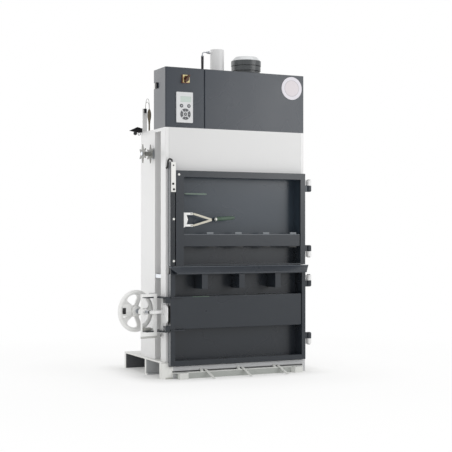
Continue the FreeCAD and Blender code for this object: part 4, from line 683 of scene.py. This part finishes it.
folded = ["upper_beam", "lower_beam", "strap_boxes"]
for name in folded:
    round_edges(name, FOLD_MM)
print("rounded", folded)

# %% [markdown]
# ## Helpers for the small pieces
# Places are given the way a fitter would measure them: millimetres across from the cover's
# left edge, depth behind the front, and height above the floor. Each piece is made by
# bmesh operators at its own place, so its object stays at the origin. `keep` closes a piece:
# it merges doubled points, turns the faces outwards and lets it ride on its body.

# %% Helpers for the small pieces
ORIGIN = Vector((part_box("cover_left")[0].x, 0.0, 0.0))
SMOOTH_TURN = math.radians(35.0)
WASHER_WIDE = 1.25
WASHER_THICK = 0.12
HEAD_TALL = 0.6
HEAD_CHAMFER = 0.06


def spot(across, depth, height):
    """A point in metres from millimetres across, deep and high."""
    return ORIGIN + Vector((across, depth, height)) * MM


def aim(place, axis):
    """A matrix that stands a shape's own Z along an axis, at a place."""
    turn = Vector(axis).to_track_quat("Z", "Y").to_matrix().to_4x4()
    return Matrix.Translation(place) @ turn


def keep(name, shape, material, body):
    """Close a shape, give it a finish and let it ride on a body."""
    bmesh.ops.remove_doubles(shape, verts=shape.verts, dist=TOUCH)
    bmesh.ops.recalc_face_normals(shape, faces=shape.faces)
    mesh = bpy.data.meshes.new(name)
    shape.to_mesh(mesh)
    shape.free()
    mesh.materials.append(material)
    mesh.shade_smooth()
    mesh.set_sharp_from_angle(angle=SMOOTH_TURN)
    piece = bpy.data.objects.new(name, mesh)
    bpy.context.scene.collection.objects.link(piece)
    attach(piece, body)
    print(name, len(mesh.polygons), "faces")
    return piece


def round_off(shape, verts, width_mm, segments=2):
    """Bevel every edge between the given points."""
    edges = list({edge for vert in verts for edge in vert.link_edges})
    bmesh.ops.bevel(shape, geom=edges, offset=width_mm * MM, affect="EDGES", segments=segments,
                    profile=0.5, material=-1, clamp_overlap=True)


def slab(shape, low, high, edge_mm):
    """A block between two corners, with rounded edges."""
    size = Matrix.Diagonal((*(high - low), 1.0))
    stand = Matrix.Translation((low + high) / 2) @ size
    made = bmesh.ops.create_cube(shape, size=1.0, matrix=stand)
    round_off(shape, made["verts"], edge_mm)


def lathe(shape, outline, place, axis, steps=32):
    """Turn an outline of (radius, height) pairs in millimetres round an axis."""
    stand = aim(place, axis)
    points = [shape.verts.new(stand @ (Vector((radius, 0.0, height)) * MM))
              for radius, height in outline]
    edges = [shape.edges.new(pair) for pair in zip(points, points[1:])]
    bmesh.ops.spin(shape, geom=points + edges, cent=place, axis=axis, angle=math.tau,
                   steps=steps, use_merge=True, use_duplicate=False)


def hex_bolt(shape, place, axis, across_mm):
    """A washer and a hexagon head with chamfered corners."""
    wide = across_mm / math.sqrt(3.0)
    brim = wide * WASHER_WIDE
    thick = across_mm * WASHER_THICK
    lathe(shape, [(0.0, 0.0), (brim, 0.0), (brim, thick), (0.0, thick)], place, axis)
    tall = across_mm * HEAD_TALL
    stand = aim(place, axis) @ Matrix.Translation((0.0, 0.0, (thick + tall / 2.0) * MM))
    made = bmesh.ops.create_cone(shape, cap_ends=True, segments=6, radius1=wide * MM,
                                 radius2=wide * MM, depth=tall * MM, matrix=stand)
    round_off(shape, made["verts"], across_mm * HEAD_CHAMFER)


def socket_screw(shape, place, axis, radius_mm):
    """A domed head with a round sunk socket, in shares of its radius and height."""
    tall = radius_mm * 0.7
    lathe(shape, [(0.0, tall * 0.4), (radius_mm * 0.42, tall * 0.4), (radius_mm * 0.5, tall),
                  (radius_mm * 0.75, tall * 0.9), (radius_mm, tall * 0.35), (radius_mm, 0.0),
                  (0.0, 0.0)], place, axis, steps=24)


FRONT = Vector((0.0, -1.0, 0.0))
BACK = Vector((0.0, 1.0, 0.0))
UP = Vector((0.0, 0.0, 1.0))
LEFT = Vector((-1.0, 0.0, 0.0))
print("origin of the measures", tuple(ORIGIN))

# %% [markdown]
# ## Caps and screws at the front
# White domed caps close the screw holes of the upper door and of the strip beside it. Two dark
# screws hold the white switch bar to the strip, and a small dark pin sits near the bar's top.
# All are turned shapes: an outline is drawn once and spun round its axis, which gives a true
# round dome with few faces.

# %% Caps and screws at the front
CAP_RADIUS_MM = 8.0
CAP_OUTLINE = [(0.0, 5.0), (3.0, 4.8), (5.6, 4.0), (7.4, 2.4), (CAP_RADIUS_MM, 0.8),
               (CAP_RADIUS_MM, 0.0), (0.0, 0.0)]
DOOR_CAP_AT = (77.0, 1344.0)
STRIP_CAPS_AT = ((40.0, 1050.0), (40.0, 775.0))
BAR_SCREWS_AT = ((33.0, 1281.0), (38.0, 1245.0))
BAR_SCREW_RADIUS_MM = 7.5
BAR_PIN_AT = (35.0, 1402.0)
BAR_PIN_OUTLINE = [(0.0, 0.6), (5.0, 0.6), (5.0, 0.0), (0.0, 0.0)]


def front_spot(at, depth_mm):
    """A point in metres from a pair (across, height) in millimetres, at a given depth."""
    return spot(at[0], depth_mm, at[1])


door_front_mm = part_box("upper_door")[0].y / MM
caps = bmesh.new()
lathe(caps, CAP_OUTLINE, front_spot(DOOR_CAP_AT, door_front_mm), FRONT)
keep("door_cap", caps, white_nylon, "upper_door_body")
caps = bmesh.new()
for at in STRIP_CAPS_AT:
    lathe(caps, CAP_OUTLINE, front_spot(at, door_front_mm), FRONT)
keep("strip_caps", caps, white_nylon, "machine_frame")

bar_front_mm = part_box("door_switch")[0].y / MM
screws = bmesh.new()
for at in BAR_SCREWS_AT:
    socket_screw(screws, front_spot(at, bar_front_mm), FRONT, BAR_SCREW_RADIUS_MM)
lathe(screws, BAR_PIN_OUTLINE, front_spot(BAR_PIN_AT, bar_front_mm), FRONT)
keep("switch_bar_screws", screws, blackened, "machine_frame")

# %% [markdown]
# ## Key marks
# The keypad's film carries pale marks: an arrow on each arm of the ring key and a round dot on
# each of the other three keys. They are generic signs, raised by a quarter of a millimetre as
# thick print is.

# %% Key marks
PRINT_MM = 0.25
ARC_REACH_MM = 27.0
ARROW_MM = 4.2


def front_face(name):
    """The middle of a part's front face."""
    low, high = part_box(name)
    return Vector(((low.x + high.x) / 2.0, low.y, (low.z + high.z) / 2.0))


def arrow(shape, place, turn, size_mm):
    """A flat triangle in front of the keypad, turned about its middle."""
    stand = aim(place, FRONT) @ Matrix.Rotation(turn, 4, "Z")
    made = bmesh.ops.create_circle(shape, cap_ends=True, segments=3, radius=size_mm * MM,
                                   matrix=stand)
    faces = list({face for vert in made["verts"] for face in vert.link_faces})
    raised = bmesh.ops.extrude_face_region(shape, geom=faces)["geom"]
    bmesh.ops.translate(shape, vec=FRONT * PRINT_MM * MM,
                        verts=[item for item in raised if isinstance(item, bmesh.types.BMVert)])


marks = bmesh.new()
for quarter in range(4):
    angle = quarter * math.pi / 2.0
    reach = Vector((math.cos(angle), 0.0, math.sin(angle))) * ARC_REACH_MM * MM
    arrow(marks, front_face("key_ring") + reach, angle, ARROW_MM)
keep("ring_key_marks", marks, mark_film, "key_ring_body")

for name, radius_mm in (("key_left", 5.5), ("key_right", 5.5), ("key_centre", 4.5)):
    marks = bmesh.new()
    lathe(marks, [(0.0, 0.0), (radius_mm, 0.0), (radius_mm, PRINT_MM), (0.0, PRINT_MM)],
          front_face(name), FRONT, steps=24)
    keep(name + "_mark", marks, mark_film, name + "_body")

# %% [markdown]
# ## Small things on the doors
# A narrow green strip lies on the lower beam's front, close under its top edge, and short dark
# tongues hang under the upper beam where the strap clips sit. Both are thin bevelled plates.
# The tongues are near black also as painted shade under the beam.

# %% Small things on the doors
STRIP_FROM_MM = 176.0
STRIP_TO_MM = 297.0
STRIP_THICK_MM = 0.8
STRIP_FOOT_MM = 7.0
STRIP_HEAD_MM = 2.5
beam_low, beam_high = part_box("lower_beam")
beam_front_mm = beam_low.y / MM
beam_top_mm = beam_high.z / MM
strip = bmesh.new()
slab(strip, spot(STRIP_FROM_MM, beam_front_mm - STRIP_THICK_MM, beam_top_mm - STRIP_FOOT_MM),
     spot(STRIP_TO_MM, beam_front_mm, beam_top_mm - STRIP_HEAD_MM), edge_mm=0.3)
keep("beam_green_strip", strip, green_pvc, "lower_door_body")

CLIP_COUNT = 4
TONGUE_WIDTH_M = 0.062
TONGUE_FRONT_M = 0.003
TONGUE_BACK_M = 0.007
TONGUE_HANG_M = 0.008
TONGUE_ROOT_M = 0.002
upper_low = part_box("upper_beam")[0]
clip_low, clip_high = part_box("strap_clips")
clip_step = (clip_high.x - clip_low.x - TONGUE_WIDTH_M) / (CLIP_COUNT - 1)
tongues = bmesh.new()
for index in range(CLIP_COUNT):
    left_x = clip_low.x + index * clip_step
    slab(tongues, Vector((left_x, upper_low.y + TONGUE_FRONT_M, upper_low.z - TONGUE_HANG_M)),
         Vector((left_x + TONGUE_WIDTH_M, upper_low.y + TONGUE_BACK_M,
                 upper_low.z + TONGUE_ROOT_M)), edge_mm=1.0)
keep("clip_tongues", tongues, black_plastic, "upper_door_body")

# %% [markdown]
# ## Grip on the latch
# The grip is dipped in thick green PVC: full where it meets the neck, a little thinner towards
# its rounded end. A turned outline gives that shape, and it takes the place of the plain tube.

# %% Grip on the latch
GRIP_TILT = math.radians(4.0)
GRIP_RADIUS_MM = 13.4
grip_axis = Vector((math.cos(GRIP_TILT), 0.0, math.sin(GRIP_TILT)))
grip_place = Vector((grip_low.x, (grip_low.y + grip_high.y) / 2.0,
                     grip_low.z + GRIP_RADIUS_MM * MM))
grip = bmesh.new()
lathe(grip, [(0.0, 0.0), (11.6, 0.0), (GRIP_RADIUS_MM, 4.0), (GRIP_RADIUS_MM, 60.0),
             (12.6, 100.0), (11.0, 126.0), (7.5, 135.0), (0.0, 138.0)], grip_place, grip_axis)
full_grip = keep("latch_full_grip", grip, green_pvc, "latch_lever_body")
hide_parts("latch_grip")

# %% [markdown]
# ## Boss on the post
# Under the lock a round boss is welded on the left post, with a threaded hole in it. The boss
# is a turned ring, and a dark dished disc that fills it stands for the hole: its dark is
# painted shade inside the hole.

# %% Boss on the post
BOSS_DEPTH_M = 0.061
BOSS_HEIGHT_M = 0.281
BORE_MM = 11.0
boss_place = Vector((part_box("front_posts")[0].x, BOSS_DEPTH_M, BOSS_HEIGHT_M))
boss = bmesh.new()
lathe(boss, [(BORE_MM, 0.0), (BORE_MM, 8.0), (13.5, 8.0), (15.0, 6.5), (15.0, 0.0),
             (BORE_MM, 0.0)], boss_place, LEFT)
keep("post_boss", boss, frame_coat, "machine_frame")
bore = bmesh.new()
lathe(bore, [(0.0, 0.0), (BORE_MM, 0.0), (BORE_MM, 8.3), (0.0, 7.6)], boss_place, LEFT)
keep("post_boss_bore", bore, blackened, "machine_frame")

# %% [markdown]
# ## Handle and plate on the wheel
# In its left window the wheel carries a pale plate with a dark folding handle on it. The handle
# is a ribbed block, and the plate is a sheet with rounded corners. Both stand in the plane of
# the wheel, which is turned a little from the front, so their places are given in that plane:
# across, up and along the axle.

# %% Handle and plate on the wheel
LOCK_TURN = math.radians(14.4)
across_wheel = Vector((math.cos(LOCK_TURN), math.sin(LOCK_TURN), 0.0))
wheel_centre = Vector((-0.671, 0.156, 0.442))
wheel_plane = Matrix((across_wheel, UP, across_wheel.cross(UP))).transposed().to_4x4()
in_wheel = Matrix.Translation(wheel_centre) @ wheel_plane
PLATE_AT = (-80.0, 9.0, 4.0)
PLATE_SIZE = (86.0, 82.0, 4.0)
HANDLE_AT = (-96.0, 4.0, 9.0)
HANDLE_SIZE = (24.0, 40.0, 8.0)
RIB_AT = (-96.0, -6.0, 14.0)
RIB_SIZE = (20.0, 4.0, 3.0)
RIB_STEP = Vector((0.0, 10.0, 0.0))
RIBS = 3


def wheel_block(shape, middle, size, edge_mm):
    """A block in the wheel's own plane: across, up and along the axle, in millimetres."""
    stand = in_wheel @ Matrix.Translation(Vector(middle) * MM)
    stand = stand @ Matrix.Diagonal((*(Vector(size) * MM), 1.0))
    made = bmesh.ops.create_cube(shape, size=1.0, matrix=stand)
    round_off(shape, made["verts"], edge_mm)


plate = bmesh.new()
wheel_block(plate, PLATE_AT, PLATE_SIZE, edge_mm=1.5)
keep("wheel_plate", plate, wheel_coat, "handwheel_body")
handle = bmesh.new()
wheel_block(handle, HANDLE_AT, HANDLE_SIZE, edge_mm=2.0)
for rib in range(RIBS):
    wheel_block(handle, Vector(RIB_AT) + rib * RIB_STEP, RIB_SIZE, edge_mm=1.0)
keep("wheel_handle", handle, black_plastic, "handwheel_body")

# %% [markdown]
# ## The claw's plates, cut back to the frame
# The two dark plates of the claw run from the door's edge past the pivot into the white frame.
# In the picture they end at the frame's left bar, but the CAD plates reach back behind that
# bar and show to its left. The visible claw is a copy of the CAD mesh that an upright plane
# near the wheel's axis cuts off, with its cut closed again. A grey block on the lower plate,
# between the frame's bars, stands for a face of the claw there that lies in shade: its grey
# is painted shade.

# %% The claw's plates, cut back to the frame
CUT_ACROSS_MM = -4.0
SHADED_FACE_AT = (10.0, -114.0, 112.0)
SHADED_FACE_SIZE = (60.0, 19.0, 24.0)

claw = bmesh.new()
claw.from_mesh(nodes["lock_claw"].data)
bmesh.ops.remove_doubles(claw, verts=claw.verts, dist=TOUCH)
cut = in_wheel @ (Vector((CUT_ACROSS_MM, 0.0, 0.0)) * MM)
bmesh.ops.bisect_plane(claw, geom=claw.verts[:] + claw.edges[:] + claw.faces[:], dist=TOUCH,
                       plane_co=cut, plane_no=across_wheel, clear_inner=True)
open_edges = [edge for edge in claw.edges if edge.is_boundary]
bmesh.ops.holes_fill(claw, edges=open_edges, sides=0)
claw_piece = keep("claw_plates", claw, door_coat, "lock_claw_body")
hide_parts("lock_claw")
block = bmesh.new()
wheel_block(block, SHADED_FACE_AT, SHADED_FACE_SIZE, edge_mm=1.5)
keep("claw_face_in_painted_shade", block, reel_plastic, "lock_claw_body")

# %% [markdown]
# ## Hose and leads
# The black hose leaves the pipe's sleeve, hangs down behind the cylinder and turns into the
# tank. A short lead loops out of the door switch, round and into the post, and two thin leads
# arch from the sensors' sleeve to the stay. Each is one smooth curve with a round section, on
# the corner points of the CAD part. Only the switch lead's crown stands 6 mm higher, because
# a real lead would not bend so tightly. The lengths are measured along the curves.

# %% Hose and leads
HOSE_RADIUS_M = 0.009
HOSE_LENGTH_M = 0.573
SWITCH_LEAD_RADIUS_M = 0.0055
SWITCH_LEAD_LENGTH_M = 0.112
SENSOR_LEAD_RADIUS_M = 0.00175
TALL_LEAD_LENGTH_M = 0.149
LOW_LEAD_LENGTH_M = 0.106
SLEEVE_DEPTH_M = 0.435


def free_cord(name, node, route, radius_m, length_m, material):
    """One smooth round cord on its route, in place of its CAD node."""
    line = bpy.data.curves.new(name, "CURVE")
    line.dimensions = "3D"
    line.bevel_depth = radius_m
    line.bevel_resolution = 6
    line.resolution_u = 16
    spline = line.splines.new("NURBS")
    spline.points.add(len(route) - 1)
    for point, place in zip(spline.points, route):
        point.co = (*place, 1.0)
    spline.order_u = 3
    spline.use_endpoint_u = True
    line.materials.append(material)
    cord = bpy.data.objects.new(name, line)
    bpy.context.scene.collection.objects.link(cord)
    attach(cord, "machine_frame")
    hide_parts(node)
    print(name, length_m, "m long")


hose_route = [(-0.113, 0.317, 2.152), (-0.113, 0.317, 1.917), (-0.113, 0.317, 1.777),
              (0.0, 0.399, 1.777), (0.090, 0.399, 1.777)]
free_cord("black_oil_hose", "oil_hose", hose_route, HOSE_RADIUS_M, HOSE_LENGTH_M, rubber)

switch_route = [(-0.4835, -0.027, 1.424), (-0.4835, -0.027, 1.445), (-0.514, -0.027, 1.445),
                (-0.514, -0.027, 1.387), (-0.514, 0.0, 1.387)]
free_cord("door_switch_lead", "switch_cable", switch_route, SWITCH_LEAD_RADIUS_M,
          SWITCH_LEAD_LENGTH_M, rubber)

tall_route = [(-0.465, 0.4324, 1.823), (-0.465, 0.4324, 1.8934), (-0.4916, 0.4354, 1.8934),
              (-0.4916, 0.4354, 1.823)]
low_route = [(-0.465, 0.4376, 1.823), (-0.465, 0.4376, 1.871), (-0.4916, 0.4406, 1.871),
             (-0.4916, 0.4406, 1.823)]
free_cord("sensor_lead_tall", "sensor_leads", tall_route, SENSOR_LEAD_RADIUS_M,
          TALL_LEAD_LENGTH_M, sleeve)
free_cord("sensor_lead_low", "sensor_leads", low_route, SENSOR_LEAD_RADIUS_M,
          LOW_LEAD_LENGTH_M, sleeve)

gather = bmesh.new()
lathe(gather, [(0.0, 0.0), (5.6, 0.0), (5.8, 58.0), (8.4, 84.0), (12.4, 103.0), (13.9, 119.0),
               (13.2, 138.0), (9.4, 155.0), (4.4, 166.0), (0.0, 166.0)],
      Vector((tall_route[0][0], SLEEVE_DEPTH_M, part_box("sensor_leads")[0].z)), UP)
gathered = keep("sensor_lead_sleeve", gather, sleeve, "machine_frame")
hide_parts("sensor_leads")

# %% [markdown]
# ## Bolts on the cylinder's flange and the tank
# Eight hexagon bolts hold the cylinder's flange to the crosshead. A ring of bolts is one loop:
# each place comes from the circle's angle. Four smaller bolts hold the corners of the tank's
# top, with a filler cap beside the one at the back right.

# %% Bolts on the cylinder's flange and the tank
FLANGE_THICK_M = 0.025
FLANGE_BOLTS = 8
FLANGE_CIRCLE_M = 0.066
FLANGE_BOLT_ACROSS_MM = 17.0
barrel_low, barrel_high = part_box("cylinder_barrel")
flange_middle = (barrel_low + barrel_high) / 2.0
flange_top_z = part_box("crosshead")[1].z + FLANGE_THICK_M
bolts = bmesh.new()
for index in range(FLANGE_BOLTS):
    angle = math.tau * (index + 0.5) / FLANGE_BOLTS
    place = Vector((flange_middle.x + FLANGE_CIRCLE_M * math.cos(angle),
                    flange_middle.y + FLANGE_CIRCLE_M * math.sin(angle), flange_top_z))
    hex_bolt(bolts, place, UP, FLANGE_BOLT_ACROSS_MM)
keep("flange_bolts", bolts, zinc, "machine_frame")

TANK_INSET_M = 0.018
TANK_BOLT_ACROSS_MM = 10.0
tank_low, tank_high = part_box("oil_tank")
bolts = bmesh.new()
for across in (tank_low.x + TANK_INSET_M, tank_high.x - TANK_INSET_M):
    for depth in (tank_low.y + TANK_INSET_M, tank_high.y - TANK_INSET_M):
        hex_bolt(bolts, Vector((across, depth, tank_high.z)), UP, TANK_BOLT_ACROSS_MM)
keep("tank_bolts", bolts, zinc, "machine_frame")

CAP_INSET_M = 0.036
cap_place = tank_high - Vector((CAP_INSET_M, CAP_INSET_M, 0.0))
cap = bmesh.new()
lathe(cap, [(0.0, 22.0), (12.0, 22.0), (14.0, 20.0), (14.0, 6.0), (17.0, 5.0), (17.0, 0.0),
            (0.0, 0.0)], cap_place, UP)
keep("tank_filler_cap", cap, black_plastic, "machine_frame")

# %% [markdown]
# ## Terminal box on the motor
# Behind the motor sits its terminal box: a cast box with a lid, four screws and a cable gland.
# Its seat lies a little inside the motor's round body.

# %% Terminal box on the motor
BOX_SUNK_M = 0.011
BOX_HALF_M = 0.046
BOX_DEEP_M = 0.042
LID_OVERHANG_M = 0.002
LID_THICK_M = 0.008
LID_SCREW_INSET_M = 0.008
LID_SCREW_RADIUS_MM = 4.0
motor_low, motor_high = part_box("motor")
seat = (motor_low + motor_high) / 2.0
seat.y = motor_high.y - BOX_SUNK_M


def box_spot(across, deep, up):
    """A point in metres from the middle of the terminal box's seat."""
    return seat + Vector((across, deep, up))


lid_half = BOX_HALF_M + LID_OVERHANG_M
lid_face = BOX_DEEP_M + LID_THICK_M
box = bmesh.new()
slab(box, box_spot(-BOX_HALF_M, 0.0, -BOX_HALF_M), box_spot(BOX_HALF_M, BOX_DEEP_M, BOX_HALF_M),
     edge_mm=5.0)
slab(box, box_spot(-lid_half, BOX_DEEP_M, -lid_half), box_spot(lid_half, lid_face, lid_half),
     edge_mm=2.0)
lathe(box, [(0.0, 0.0), (11.0, 0.0), (11.0, 5.0), (9.0, 5.0), (9.0, 14.0), (6.0, 17.0),
            (0.0, 17.0)], box_spot(0.0, BOX_DEEP_M / 2.0, -BOX_HALF_M), -UP)
keep("terminal_box", box, motor_coat, "machine_frame")

screw_reach = BOX_HALF_M - LID_SCREW_INSET_M
screws = bmesh.new()
for across in (-screw_reach, screw_reach):
    for up in (-screw_reach, screw_reach):
        socket_screw(screws, box_spot(across, lid_face, up), BACK, LID_SCREW_RADIUS_MM)
keep("terminal_box_screws", screws, zinc, "machine_frame")

# %% [markdown]
# ## Weld beads at the back
# The beams are stitch welded to the back plate. A bead is a row of flat drops that overlap, as
# a welder lays them, so one small ball is repeated along each stitch and pressed flat.

# %% Weld beads at the back
BEAM_COUNT = 4
BEAM_TALL_M = 0.060
STITCHES = 6
DROPS = 9
DROP_MM = 3.4
DROP_STEP_MM = 4.6
DROP_FORM = Matrix.Diagonal((1.3, 0.8, 1.0, 1.0))
beams_low, beams_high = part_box("back_beams")
plate_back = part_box("chamber_back")[1].y
beam_step = (beams_high.z - beams_low.z - BEAM_TALL_M) / (BEAM_COUNT - 1)
stitch_step = (beams_high.x - beams_low.x) / STITCHES
beads = bmesh.new()
for beam in range(BEAM_COUNT):
    for edge in (0.0, BEAM_TALL_M):
        level = beams_low.z + beam * beam_step + edge
        for stitch in range(STITCHES):
            middle = beams_low.x + (stitch + 0.5) * stitch_step
            for drop in range(DROPS):
                across = middle + (drop - (DROPS - 1) / 2.0) * DROP_STEP_MM * MM
                stand = Matrix.Translation((across, plate_back, level)) @ DROP_FORM
                bmesh.ops.create_icosphere(beads, subdivisions=1, radius=DROP_MM * MM,
                                           matrix=stand)
keep("back_weld_beads", beads, frame_coat, "machine_frame")
